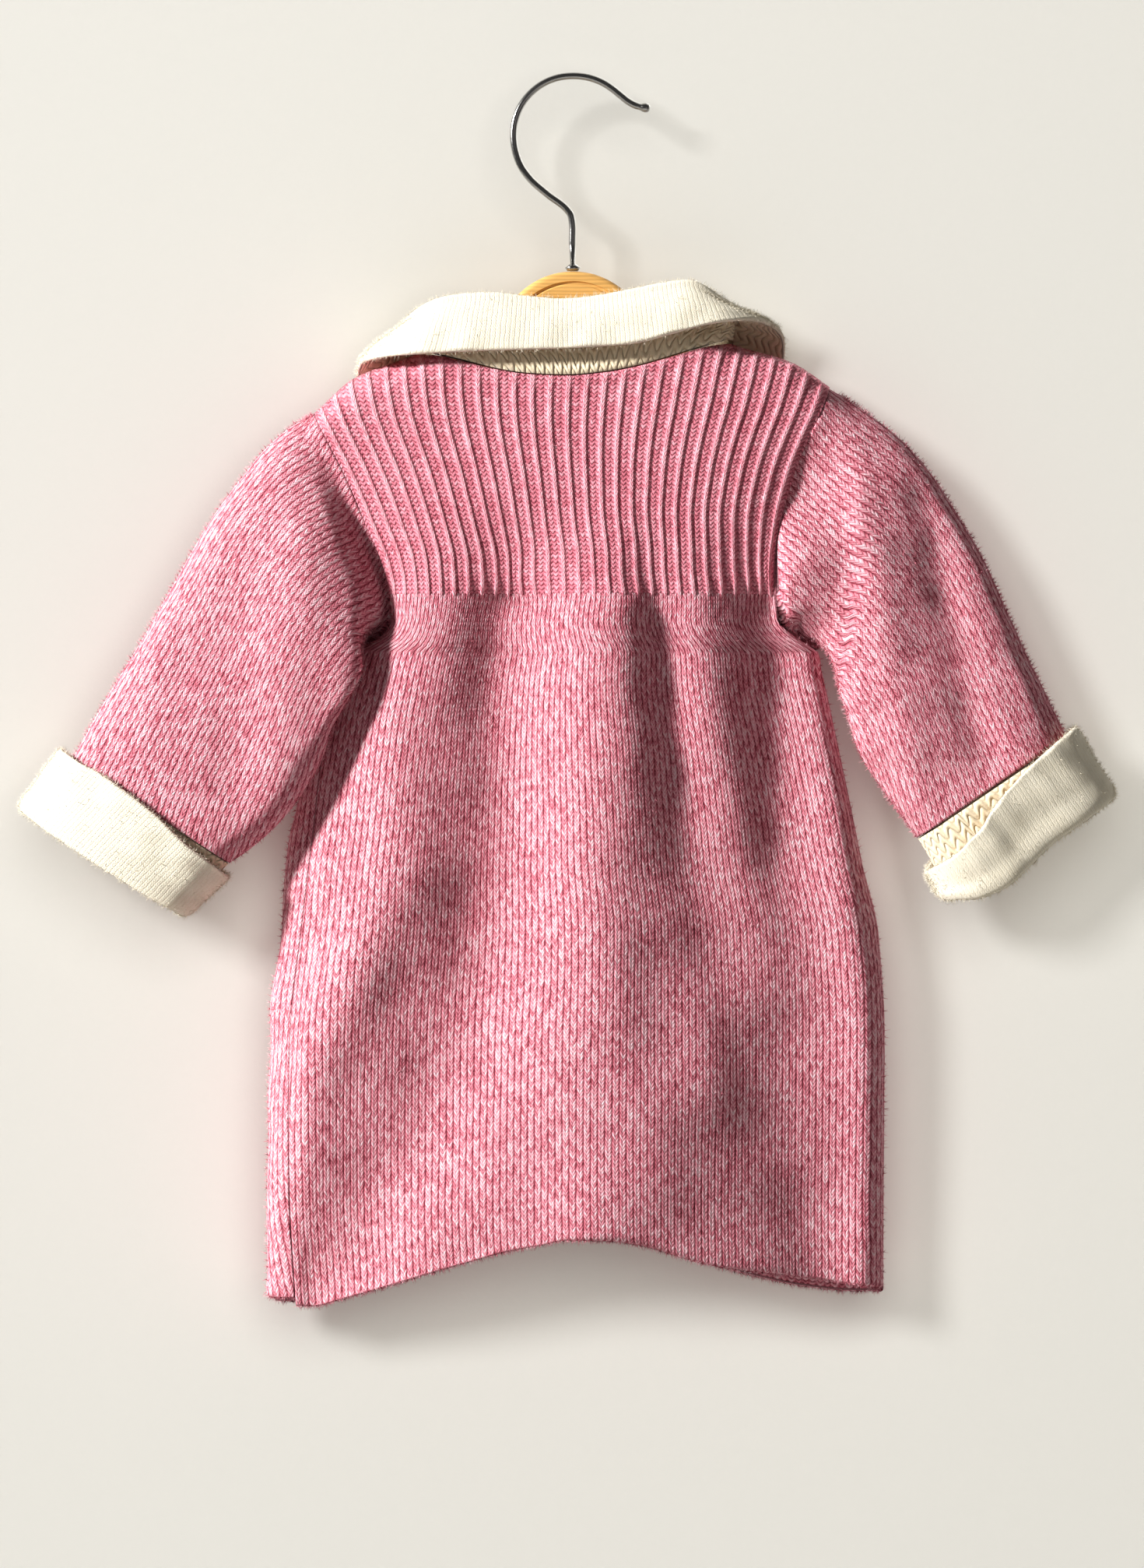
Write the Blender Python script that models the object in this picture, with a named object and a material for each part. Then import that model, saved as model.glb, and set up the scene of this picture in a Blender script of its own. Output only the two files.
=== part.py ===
# Child's knitted sweater dress on a wooden clothes hanger.
# Lengths are in millimetres here and are turned into metres when a mesh is made.
# X is the picture's right, Z is up, and -Y is the side seen: the back of the dress.
# The origin is the highest point inside the hook, where a rail would carry it.
import math

import bmesh
import bpy
import numpy as np

NAME = "sweater_dress"
MM = 0.001
CLOTH = 2.6  # wall of the pink knit
CREAM = 2.2  # wall of the cream knit
GAP = 0.3  # between two pieces at a seam
RELAX = 8  # rounds of evening out the cloth rolled over the armpit
UNDERARM_GAP = 1.2  # more of it where the sleeve rolls over the armpit
RIB_COUNT = 29
RIB_HEIGHT = 0.9
RIB_SHARE = 0.27  # half of a rib's width, as a share of the rib pitch
RIB_FOOT = -226.5  # where the ribs of the yoke begin
ARMPIT = -252.0
LEFT_TOP = -147.6  # left shoulder point
RIGHT_TOP = -136.3  # right shoulder point
NECK_X = 69.8  # the neck meets the shoulder seams this far out
FLATTEN = 24.0  # height over which the panel loses its round side above the armpit
ROUND = 14.0  # height over which the shoulder rolls from back to front
ARMHOLE_BACK = 12.0  # depth of the armhole's edge behind the hanger's plane
ARMHOLE_FRONT = 9.5
SKIRT_ROWS = 9
YOKE_STEPS = (0.24, 0.48, 0.7, 0.85, 0.93, 0.977, 1.0)
HIP_ROWS = (-252.0, -249.3, -245.0, -238.0, -229.5)

PINK = (0.56, 0.19, 0.23, 1)
WOOL = (0.88, 0.83, 0.70, 1)
WOOD = (0.72, 0.41, 0.14, 1)
CHROME = (0.60, 0.60, 0.62, 1)


def table(names, rows):
    """Columns by name."""
    return dict(zip(names.split(), np.array(rows, float).T))


EDGES = table(
    "z left right wales_left wales_right",
    [
        (-545.0, -134.3, 136.7, -134.3, 136.7),
        (-477.0, -134.0, 137.0, -134.0, 137.0),
        (-421.6, -132.9, 137.4, -132.9, 137.4),
        (-375.0, -128.5, 134.6, -128.5, 134.6),
        (-344.4, -125.1, 127.5, -125.1, 127.5),
        (-324.0, -122.1, 123.4, -121.0, 123.2),
        (-290.0, -113.9, 116.3, -110.5, 115.0),
        (-266.0, -104.5, 111.0, -100.5, 107.5),
        (-252.0, -98.0, 107.0, -94.5, 104.5),
        (-249.5, -89.5, 102.5, -93.5, 102.5),
        (-245.0, -81.5, 96.0, -91.8, 98.0),
        (-238.0, -77.6, 90.9, -89.5, 94.5),
        (-227.0, -78.6, 89.6, -87.0, 94.0),
        (-213.0, -82.0, 89.3, -86.5, 92.2),
        (-195.8, -89.4, 91.1, -90.4, 92.3),
        (-174.4, -98.9, 96.6, -98.9, 97.0),
        (-155.0, -108.8, 104.7, -108.8, 104.7),
        (-147.0, -112.5, 108.5, -112.5, 108.5),
        (-136.0, -115.6, 112.5, -115.6, 112.5),
        (-125.0, -117.2, 115.9, -117.2, 115.9),
        (-116.0, -117.6, 117.6, -117.6, 117.6),
        (-60.0, -117.6, 117.6, -117.6, 117.6),
    ],
)
DEPTHS = table(
    "z back front",
    [
        (-545.0, 29.0, 21.0),
        (-400.0, 27.0, 20.0),
        (-300.0, 24.0, 18.0),
        (-250.0, 22.0, 17.0),
        (-200.0, 20.0, 16.0),
        (-150.0, 17.5, 14.0),
        (-115.0, 15.0, 12.5),
        (-60.0, 15.0, 12.5),
    ],
)
RIDGE = table(
    "x z",
    [
        (-130.0, -160.0),
        (-112.5, -147.6),
        (-94.9, -132.3),
        (-69.8, -122.4),
        (-40.0, -104.0),
        (0.0, -92.0),
        (40.0, -100.0),
        (69.8, -117.5),
        (95.2, -125.2),
        (112.5, -136.3),
        (130.0, -150.0),
    ],
)
NECK_BACK = table(
    "x z",
    [
        (-69.8, -122.4),
        (-60.0, -122.9),
        (-50.0, -124.6),
        (-34.0, -128.6),
        (-18.0, -131.0),
        (-2.0, -131.6),
        (14.0, -130.2),
        (28.0, -127.6),
        (41.5, -123.8),
        (56.1, -119.6),
        (69.8, -117.5),
    ],
)
NECK_FRONT = table(
    "x z",
    [
        (-69.8, -122.4),
        (-62.0, -132.0),
        (-50.0, -144.0),
        (-30.0, -156.0),
        (0.0, -162.0),
        (30.0, -155.0),
        (50.0, -142.0),
        (62.0, -128.5),
        (69.8, -117.5),
    ],
)
HEM_BACK = table(
    "x z",
    [
        (-134.3, -531.8),
        (-127.5, -535.8),
        (-114.2, -536.2),
        (-100.6, -532.6),
        (-73.8, -524.4),
        (-46.9, -516.2),
        (-26.9, -510.6),
        (-11.9, -507.6),
        (-1.4, -505.4),
        (15.0, -505.6),
        (30.9, -508.0),
        (48.6, -513.6),
        (61.9, -517.2),
        (88.7, -521.4),
        (115.6, -525.3),
        (136.0, -529.0),
    ],
)
HEM_FRONT = table(
    "x z",
    [
        (-134.3, -531.8),
        (-127.5, -535.8),
        (-120.0, -536.4),
        (-104.0, -532.0),
        (-80.0, -524.0),
        (-47.0, -513.0),
        (-20.0, -510.4),
        (-8.0, -509.6),
        (15.0, -506.0),
        (45.0, -512.0),
        (62.0, -520.5),
        (82.0, -526.5),
        (102.0, -530.5),
        (122.0, -531.8),
        (136.0, -531.0),
    ],
)
# How far the left side seam has turned to the back, as a share of half the width.
SEAM_TURN = table(
    "z share",
    [
        (-545.0, 0.098),
        (-487.0, 0.076),
        (-400.0, 0.072),
        (-338.0, 0.080),
        (-300.0, 0.055),
        (-275.0, 0.025),
        (-252.0, 0.0),
        (-60.0, 0.0),
    ],
)
# Folds hang down the panels: the fold's line by its x at four heights, half its width and its
# height at the top and at the hem. A height below nought is a valley.
FOLD_Z = (-536.0, -440.0, -340.0, -215.0)
FOLD_NAMES = "x_hem x_low x_mid x_top wide_top wide_hem high_top high_hem"
FOLDS_BACK = table(
    FOLD_NAMES,
    [
        (-150.0, -119.0, -80.0, -71.0, 21.0, 18.0, 4.0, 9.0),
        (-112.0, -60.0, -31.0, -26.0, 18.5, 30.0, -8.0, -8.0),
        (6.5, 13.0, 13.0, 17.0, 21.0, 30.0, 7.0, 7.0),
        (92.0, 81.0, 56.0, 33.0, 10.0, 24.0, -3.0, -5.0),
        (93.0, 84.0, 58.0, 54.0, 9.0, 12.0, 1.0, 0.5),
        (122.0, 106.5, 94.5, 87.0, 17.0, 25.0, -7.5, -7.5),
        (131.0, 134.0, 123.0, 100.0, 11.0, 12.0, 5.0, 7.0),
    ],
)
FOLDS_FRONT = table(
    FOLD_NAMES,
    [
        (-100.0, -88.0, -72.0, -60.0, 15.0, 22.0, 2.5, 4.5),
        (-52.0, -44.0, -36.0, -32.0, 15.0, 22.0, -3.5, -5.0),
        (2.0, 4.0, 2.0, 0.0, 17.0, 26.0, 3.5, 6.0),
        (58.0, 50.0, 42.0, 36.0, 13.0, 20.0, -4.0, -5.0),
        (96.0, 86.0, 76.0, 64.0, 13.0, 20.0, 2.5, 4.0),
    ],
)
# Sleeves by section: along is how far down the sleeve, the chord runs from its inner to its outer
# edge, the bulges are depths in front of and behind the chord, lean moves the low back of it in.
SLEEVE_NAMES = "along xi yi zi xo yo zo low mid high front lean"
SLEEVE_LEFT = table(
    SLEEVE_NAMES,
    [
        (0.00, -98.0, 0.0, -252.0, -112.5, 0.0, -147.6, 12.0, 12.0, 9.0, 8.0, 0.0),
        (0.10, -107.5, -9.0, -259.0, -123.4, -3.0, -153.0, 17.0, 17.0, 11.0, 11.0, 23.5),
        (0.20, -108.5, -16.0, -271.0, -134.0, -5.0, -162.5, 15.0, 17.0, 12.0, 12.0, 20.0),
        (0.32, -106.0, -21.0, -282.0, -145.9, -6.0, -177.1, 13.0, 16.0, 12.0, 12.0, 12.0),
        (0.45, -107.0, -22.5, -293.0, -158.8, -7.0, -195.5, 11.0, 14.0, 12.0, 12.0, 4.0),
        (0.58, -112.0, -21.5, -304.3, -172.4, -8.0, -218.6, 10.0, 13.0, 11.0, 12.0, 0.0),
        (0.72, -122.0, -20.0, -320.0, -188.7, -9.0, -247.9, 10.0, 12.0, 11.0, 12.0, 0.0),
        (0.86, -136.3, -18.0, -334.6, -204.7, -10.0, -273.7, 10.0, 12.0, 10.0, 11.0, 0.0),
        (1.00, -149.0, -16.0, -343.5, -218.3, -11.0, -298.5, 10.0, 12.0, 10.0, 11.0, 0.0),
    ],
)
SLEEVE_RIGHT = table(
    SLEEVE_NAMES,
    [
        (0.00, 107.0, 0.0, -252.0, 112.5, 0.0, -136.3, 12.0, 12.0, 9.0, 8.0, 0.0),
        (0.12, 114.0, -3.0, -259.5, 130.9, -2.0, -147.9, 12.0, 15.0, 12.0, 9.0, 0.0),
        (0.25, 118.5, -5.0, -271.3, 149.9, -3.0, -164.2, 12.0, 15.0, 12.0, 10.0, 0.0),
        (0.38, 122.0, -6.0, -283.2, 164.6, -4.0, -184.6, 12.0, 14.0, 12.0, 10.0, 0.0),
        (0.52, 126.0, -6.5, -295.8, 177.1, -5.0, -205.0, 11.0, 13.0, 11.0, 10.0, 0.0),
        (0.68, 133.8, -7.0, -308.7, 189.0, -6.0, -230.5, 11.0, 13.0, 11.0, 10.0, 0.0),
        (0.84, 142.4, -7.0, -321.0, 202.3, -6.5, -259.4, 11.0, 13.0, 11.0, 10.0, 0.0),
        (1.00, 151.0, -7.0, -332.9, 216.6, -7.0, -288.3, 12.0, 14.0, 11.0, 10.0, 0.0),
    ],
)
# Creases on the sleeves' seen sides, by the line's two ends.
CREASE_NAMES = "x0 z0 x1 z1 wide high"
CREASES_LEFT = table(
    CREASE_NAMES,
    [
        (-146.0, -225.0, -146.0, -312.0, 9.0, -2.2),
        (-176.0, -235.0, -186.0, -290.0, 9.0, 1.6),
        (-118.0, -200.0, -124.0, -285.0, 9.0, 1.8),
    ],
)
CREASES_RIGHT = table(
    CREASE_NAMES,
    [
        (154.0, -190.0, 180.0, -300.0, 8.0, -4.2),
        (126.0, -185.0, 150.0, -312.0, 9.0, 2.6),
        (178.0, -205.0, 203.0, -285.0, 6.0, 1.6),
    ],
)
# Turned-back cuffs by station: turn is the way round, from the inner edge over the back, fold and
# fold_out place the fold, edge and edge_out the free edge.
CUFF_NAMES = "turn fold fold_out edge edge_out"
CUFF_LEFT = table(
    CUFF_NAMES,
    [
        (0.00, 30.0, 0.0, 5.5, 5.0),
        (0.10, 31.0, 0.0, 4.5, 5.2),
        (0.25, 31.5, 0.0, 0.5, 5.0),
        (0.40, 31.5, 0.0, -0.8, 5.4),
        (0.50, 31.0, 0.0, 1.6, 7.4),
        (0.62, 31.0, 0.0, 1.5, 5.6),
        (0.80, 30.5, 0.0, 2.5, 5.0),
        (1.00, 30.0, 0.0, 5.5, 5.0),
    ],
)
CUFF_RIGHT = table(
    CUFF_NAMES,
    [
        (0.00, 28.0, 3.0, 15.0, 6.0),
        (0.06, 36.0, 3.0, 15.8, 8.0),
        (0.13, 38.0, 2.5, 13.3, 9.0),
        (0.20, 36.5, 1.5, 8.7, 8.5),
        (0.27, 34.0, 1.0, 5.6, 7.0),
        (0.36, 33.6, 0.5, 2.3, 5.6),
        (0.43, 33.6, 0.5, 0.7, 5.2),
        (0.50, 33.0, 1.0, -0.4, 6.0),
        (0.62, 32.0, 0.0, 1.0, 5.2),
        (0.78, 29.0, 0.0, 3.0, 5.0),
        (0.92, 24.0, 1.5, 9.0, 5.2),
        (1.00, 28.0, 3.0, 15.0, 6.0),
    ],
)
ALONG_LEFT = (-0.694, 0.0, -0.720)
ALONG_RIGHT = (0.552, 0.0, -0.834)
CUFF_BEND = 1.75  # radius of the fold's middle line
CUFF_START = 0.75  # from the sleeve's end to the cuff's first row
# The collar by station, from the front's left end round the back to its right end: the top of the
# fold and the free edge.
COLLAR = table(
    "turn fx fy fz ex ey ez",
    [
        (0.000, -3.0, 16.0, -146.0, -13.0, 24.0, -184.0),
        (0.090, -30.0, 16.0, -140.0, -48.0, 24.5, -176.0),
        (0.180, -54.0, 14.0, -127.0, -80.0, 21.5, -154.0),
        (0.245, -69.0, 9.0, -114.5, -94.5, 15.5, -134.0),
        (0.300, -74.5, 2.0, -110.5, -93.0, 4.0, -124.5),
        (0.345, -70.5, -8.0, -105.5, -87.0, -12.0, -123.0),
        (0.390, -59.0, -12.5, -98.5, -67.0, -21.0, -121.5),
        (0.440, -38.0, -13.5, -95.8, -41.0, -22.5, -120.2),
        (0.500, -4.0, -13.5, -98.6, -4.0, -22.5, -119.0),
        (0.560, 28.0, -13.5, -94.0, 30.0, -22.5, -116.5),
        (0.610, 50.0, -12.5, -90.2, 54.0, -21.5, -109.5),
        (0.655, 66.0, -8.0, -98.0, 76.0, -15.0, -106.5),
        (0.700, 73.0, 2.0, -102.5, 88.0, 0.0, -107.5),
        (0.755, 71.0, 9.0, -106.5, 94.5, 13.0, -121.0),
        (0.820, 55.0, 14.0, -122.0, 82.0, 21.0, -149.0),
        (0.910, 31.0, 16.0, -138.5, 50.0, 24.5, -175.0),
        (1.000, 3.0, 16.0, -146.0, 13.0, 24.0, -184.0),
    ],
)
HOOK = table(
    "x z radius",
    [
        (0.3, -84.15, 2.4),
        (0.3, -81.6, 2.4),
        (0.3, -81.3, 1.5),
        (0.1, -72.0, 1.5),
        (-0.2, -61.5, 1.5),
        (-0.7, -59.4, 1.5),
        (-2.0, -57.6, 1.5),
        (-11.0, -50.4, 1.5),
        (-18.6, -43.6, 1.5),
        (-22.6, -38.0, 1.5),
        (-25.0, -31.4, 1.5),
        (-25.8, -24.6, 1.5),
        (-25.0, -17.8, 1.5),
        (-22.4, -11.4, 1.5),
        (-18.4, -6.2, 1.5),
        (-13.0, -2.0, 1.5),
        (-6.8, 0.6, 1.5),
        (0.0, 1.5, 1.5),
        (6.6, 0.9, 1.5),
        (12.8, -1.2, 1.5),
        (17.4, -4.0, 1.5),
        (21.4, -7.2, 1.5),
        (25.0, -10.0, 1.5),
        (28.4, -11.7, 1.5),
        (30.3, -12.2, 1.5),
        (30.9, -12.3, 1.8),
        (32.2, -12.5, 2.1),
        (33.5, -12.7, 1.8),
        (34.1, -12.8, 0.9),
    ],
)
HEAD_X = 0.6
HEAD_Z = -118.6
HEAD_RADIUS = 34.0
GROOVE_RADIUS = 28.6
GROOVE = 0.9
WOOD_THICK = 11.0
WOOD_ROUND = 2.6
# The hanger's arms below the head, top and bottom edges.
ARMS = table(
    "x top bottom",
    [
        (-97.0, -145.5, -151.5),
        (-94.0, -140.8, -154.6),
        (-88.0, -137.6, -155.0),
        (-70.0, -129.8, -150.0),
        (-50.0, -121.6, -145.0),
        (-31.0, -112.6, -143.0),
        (0.0, -105.0, -142.6),
        (31.0, -110.8, -142.0),
        (50.0, -118.8, -143.2),
        (70.0, -126.4, -146.8),
        (88.0, -132.4, -149.8),
        (94.0, -135.4, -149.2),
        (97.0, -140.0, -146.0),
    ],
)


def curve(x, xs, ys):
    """A smooth line through the points that never overshoots them."""
    xs, ys = np.asarray(xs, float), np.asarray(ys, float)
    rise = np.diff(ys) / np.diff(xs)
    both = rise[:-1] * rise[1:]
    total = rise[:-1] + rise[1:]
    middle = np.where(both > 0, 2 * both / np.where(total == 0, 1, total), 0.0)
    slope = np.concatenate([rise[:1], middle, rise[-1:]])
    i = np.clip(np.searchsorted(xs, x) - 1, 0, len(xs) - 2)
    step = xs[i + 1] - xs[i]
    t = np.clip((x - xs[i]) / step, 0, 1)
    a = (1 + 2 * t) * (1 - t) ** 2 * ys[i] + t * (1 - t) ** 2 * step * slope[i]
    return a + t * t * (3 - 2 * t) * ys[i + 1] + t * t * (t - 1) * step * slope[i + 1]


def look(rows, key, name, x):
    return curve(x, rows[key], rows[name])


def ease(t):
    t = np.clip(t, 0, 1)
    return t * t * (3 - 2 * t)


def unit(v):
    return v / np.maximum(np.linalg.norm(v, axis=-1, keepdims=True), 1e-9)


def across(z, s):
    """x at height z, s running from -1 at the left edge to 1 at the right one. The wales keep to
    smooth lines of their own, and those near an edge close up or spread to meet it."""
    inset = CLOTH / 2 * ease((ARMPIT - z) / 8)
    left, right, low, high = (look(EDGES, "z", n, z) for n in ("left", "right", "wales_left", "wales_right"))
    even = (low + high) / 2 + s * (high - low) / 2
    shift = (left + inset - low) * np.clip(-s, 0, 1) ** 4 + (right - inset - high) * np.clip(s, 0, 1) ** 4
    return even + shift


def folds(rows, x, z):
    """Sum of the folds' heights: each is a bell across its line that grows down the skirt."""
    total = np.zeros_like(x)
    down = ease((-205.0 - z) / 315.0)
    fade = ease((-178.0 - z) / 50.0)
    for k in range(len(rows["x_hem"])):
        line = [rows[n][k] for n in ("x_hem", "x_low", "x_mid", "x_top")]
        centre = curve(z, FOLD_Z, line)
        wide = rows["wide_top"][k] + (rows["wide_hem"][k] - rows["wide_top"][k]) * down
        high = rows["high_top"][k] + (rows["high_hem"][k] - rows["high_top"][k]) * down
        total += high * fade * np.exp(-(((x - centre) / wide) ** 2))
    return total


def body(side, z, s):
    """A point of the body's middle surface. side is -1 for the back and 1 for the front. Below the
    armpit s may run past -1, round the left edge and on to the other side."""
    z, s = np.broadcast_arrays(np.asarray(z, float), np.asarray(s, float))
    past = (s < -1) & (z <= ARMPIT)
    face = np.where(past, -side, side)
    s = np.clip(np.where(past, -2 - s, s), -1, 1)
    x = across(z, s)
    near = np.abs(s)
    top = np.where(s < 0, LEFT_TOP, RIGHT_TOP)
    up = (z - ARMPIT) / (top - ARMPIT)
    opening = np.where(face < 0, ARMHOLE_BACK, ARMHOLE_FRONT)
    opening = opening * np.sqrt(1 - (1 - np.clip(up / 0.3, 0, 1)) ** 2)
    flat = 2.0 - 0.9 * ease((z - ARMPIT) / FLATTEN)
    shape = np.maximum(1 - near**3, 0) ** (1 / flat)
    depth = np.where(face < 0, look(DEPTHS, "z", "back", z), look(DEPTHS, "z", "front", z))
    roll = np.clip((z - look(RIDGE, "x", "z", x) + ROUND) / ROUND, 0, 1)
    y = opening + (depth - opening) * shape
    relief = np.where(face < 0, folds(FOLDS_BACK, x, z), folds(FOLDS_FRONT, x, z))
    y = y + relief * np.maximum(1 - near**5, 0) ** 0.5
    return np.stack([x, face * y * np.sqrt(1 - roll**2), z], -1)


def body_normal(side, z, s):
    """Unit normal out of the cloth, from small steps across and down the surface."""
    step = 0.004
    high = np.where((s >= 1 - 1e-9), s, s + step)
    low = np.where((s <= -1 + 1e-9) & (z > ARMPIT), s, s - step)
    along = body(side, z, high) - body(side, z, low)
    up = body(side, z, s) - body(side, z - 0.8, s)
    return unit(np.cross(along, up)) * -side


def seam_share(z):
    return look(SEAM_TURN, "z", "share", z)


def top_edge(side, s):
    """Height of the shoulder or neck edge over the column s."""
    neck = NECK_BACK if side < 0 else NECK_FRONT
    z = np.full_like(s, -125.0)
    for _ in range(12):
        x = across(z, s)
        inside = np.abs(x) <= NECK_X
        z = np.where(inside, look(neck, "x", "z", x), look(RIDGE, "x", "z", x))
    return z


def hem_edge(side, s):
    hem = HEM_BACK if side < 0 else HEM_FRONT
    z = np.full_like(s, -525.0)
    for _ in range(4):
        z = look(hem, "x", "z", across(z, np.clip(s, -1, 1)))
    return z


def panel_grid(side, columns, yoke_steps, hip_rows, skirt_rows):
    """Middle surface and normals, hem to top, on the given columns (0 to 1 across)."""
    share = seam_share(-530.0)
    s_hem = -1 - side * share + (2 + side * share) * columns
    s_top = -1 + 2 * columns
    hem, top = hem_edge(side, s_hem), top_edge(side, s_top)
    rows = [hem + (ARMPIT - hem) * k / skirt_rows for k in range(skirt_rows)]
    rows += [np.full_like(columns, z) for z in hip_rows]
    rows += [RIB_FOOT + (top - RIB_FOOT) * u for u in yoke_steps]
    z = np.array(rows)
    share = seam_share(z)
    s = -1 - side * share + (2 + side * share) * columns
    mid = body(side, z, s)
    normal = body_normal(side, z, s)
    low = np.flatnonzero(z[:, 0] <= ARMPIT + 1e-6)
    for col, sign in ((0, 1), (-1, -1)):
        zc, sc = z[low, col], s[low, col]
        if col == 0:
            ahead, behind = body(side, zc, sc + 2e-3), body(side, zc, sc - 2e-3)
            run = unit(ahead - behind)
            rise = unit(body(side, zc, sc) - body(side, zc - 0.8, seam_at(side, zc - 0.8)))
            out = unit(np.cross(run, rise)) * -side
        else:
            run = np.tile((0.0, side * 1.0, 0.0), (len(low), 1))
            slope = body(side, zc, sc) - body(side, zc - 0.8, sc)
            out = unit(np.stack([slope[:, 2], 0 * zc, -slope[:, 0]], -1))
            mid[low, col, 1] = 0
        normal[low, col] = out
        mid[low, col] += run * GAP / 2
    seam = np.flatnonzero(np.abs(mid[-1, :, 0]) >= NECK_X + 1e-6)
    x = mid[-1, seam, 0]
    slope = look(RIDGE, "x", "z", x + 0.5) - look(RIDGE, "x", "z", x - 0.5)
    normal[-1, seam] = unit(np.stack([-slope, 0 * x, np.ones_like(x)], -1))
    mid[-1, seam, 1] = side * GAP / 2
    return mid, normal


def seam_at(side, z):
    return -1 - side * seam_share(z)


def coarse_columns():
    inner = np.arange(1, RIB_COUNT) / RIB_COUNT
    near = [0.0, 0.008, 0.016, 0.025, 0.048]
    far = [0.952, 0.975, 0.988, 0.997, 1.0]
    return np.unique(np.round(np.concatenate([near, inner, far]), 6))


def fine_columns():
    peaks = (np.arange(RIB_COUNT) + 0.5) / RIB_COUNT
    sides = RIB_SHARE / RIB_COUNT
    between = np.sort(np.concatenate([peaks - sides, peaks, peaks + sides]))
    return np.concatenate([[0.0], between, [1.0]])


def zip_rows(a, sa, b, sb):
    """Triangles between two rows of points whose places across are sa and sb."""
    faces, i, j = [], 0, 0
    while i < len(a) - 1 or j < len(b) - 1:
        if j == len(b) - 1 or (i < len(a) - 1 and sa[i + 1] <= sb[j + 1] + 1e-9):
            faces.append((a[i], a[i + 1], b[j]))
            i += 1
        else:
            faces.append((a[i], b[j + 1], b[j]))
            j += 1
    return faces


def grid_faces(index, wrap=False):
    n = index.shape[1] if wrap else index.shape[1] - 1
    faces = []
    for r in range(index.shape[0] - 1):
        for c in range(n):
            d = (c + 1) % index.shape[1]
            faces.append((index[r, c], index[r, d], index[r + 1, d], index[r + 1, c]))
    return faces


def make_mesh(name, points, faces, colour, metal=0.0, rough=0.9):
    mesh = bpy.data.meshes.new(name)
    corners = [tuple(int(i) for i in f) for f in faces]
    mesh.from_pydata((np.asarray(points) * MM).tolist(), [], corners)
    bm = bmesh.new()
    bm.from_mesh(mesh)
    bmesh.ops.recalc_face_normals(bm, faces=bm.faces)
    if bm.calc_volume(signed=True) < 0:
        bmesh.ops.reverse_faces(bm, faces=bm.faces)
    bmesh.ops.triangulate(bm, faces=bm.faces, quad_method="SHORT_EDGE")
    bm.to_mesh(mesh)
    bm.free()
    mesh.update()
    obj = bpy.data.objects.new(name, mesh)
    material = bpy.data.materials.new(name)
    material.use_nodes = True
    shader = material.node_tree.nodes["Principled BSDF"]
    shader.inputs["Base Color"].default_value = colour
    shader.inputs["Metallic"].default_value = metal
    shader.inputs["Roughness"].default_value = rough
    mesh.materials.append(material)
    bpy.data.collections[NAME].objects.link(obj)
    return obj


def panel(name, side):
    """A body panel: a wall with ribs raised on the outside of its yoke. Returns its armhole edges."""
    coarse, fine = coarse_columns(), fine_columns()
    mid, normal = panel_grid(side, coarse, (0.0,) + YOKE_STEPS, HIP_ROWS, SKIRT_ROWS)
    inner = mid - normal * CLOTH / 2
    split = SKIRT_ROWS + len(HIP_ROWS)
    low = mid[:split] + normal[:split] * CLOTH / 2
    fine_mid, fine_normal = panel_grid(side, fine, (0.0,) + YOKE_STEPS, HIP_ROWS, SKIRT_ROWS)
    rib = np.zeros(len(fine))
    rib[2:-1:3] = RIB_HEIGHT
    lift = np.array([0.8] + [1.0] * (len(YOKE_STEPS) - 1) + [0.25])[:, None] * rib
    high = fine_mid[split:] + fine_normal[split:] * (CLOTH / 2 + lift[..., None])
    count = low.shape[0] * low.shape[1]
    low_i = np.arange(count).reshape(low.shape[:2])
    high_i = count + np.arange(high.shape[0] * high.shape[1]).reshape(high.shape[:2])
    count += high_i.size
    in_i = count + np.arange(inner.shape[0] * inner.shape[1]).reshape(inner.shape[:2])
    faces = grid_faces(low_i) + grid_faces(high_i) + grid_faces(in_i)
    faces += zip_rows(low_i[-1], coarse, high_i[0], fine)
    faces += zip_rows(high_i[-1], fine, in_i[-1], coarse)
    faces += grid_faces(np.array([low_i[0], in_i[0]]))
    for col in (0, -1):
        edge = np.concatenate([low_i[:, col], high_i[:, col]])
        faces += grid_faces(np.array([edge, in_i[:, col]]))
    points = np.concatenate([low.reshape(-1, 3), high.reshape(-1, 3), inner.reshape(-1, 3)])
    make_mesh(name, points, faces, PINK)
    edges = []
    for col in (0, -1):
        outer = np.concatenate([low[:, col], high[:, col]])
        edges.append([rows[SKIRT_ROWS:] for rows in (outer, inner[:, col], mid[:, col])])
    return edges


def wall(mid, normal, thick, wrap, first=None):
    """Outer and inner points of a wall about a middle grid, with its faces."""
    outer, inner = mid + normal * thick / 2, mid - normal * thick / 2
    if first is not None:
        outer[0], inner[0] = first
    size = mid.shape[0] * mid.shape[1]
    out_i = np.arange(size).reshape(mid.shape[:2])
    in_i = size + out_i
    faces = grid_faces(out_i, wrap) + grid_faces(in_i, wrap)
    for row in (0, -1):
        faces += grid_faces(np.array([out_i[row], in_i[row]]), wrap)
    if not wrap:
        for col in (0, -1):
            faces += grid_faces(np.array([out_i[:, col], in_i[:, col]]))
    return np.concatenate([outer.reshape(-1, 3), inner.reshape(-1, 3)]), faces


def grid_normal(mid, wrap):
    """Unit normals of a grid from its neighbours; wrap joins the last column to the first."""
    down = np.gradient(mid, axis=0)
    if wrap:
        side = np.roll(mid, -1, 1) - np.roll(mid, 1, 1)
    else:
        side = np.gradient(mid, axis=1)
    return unit(np.cross(side, down))


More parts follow.
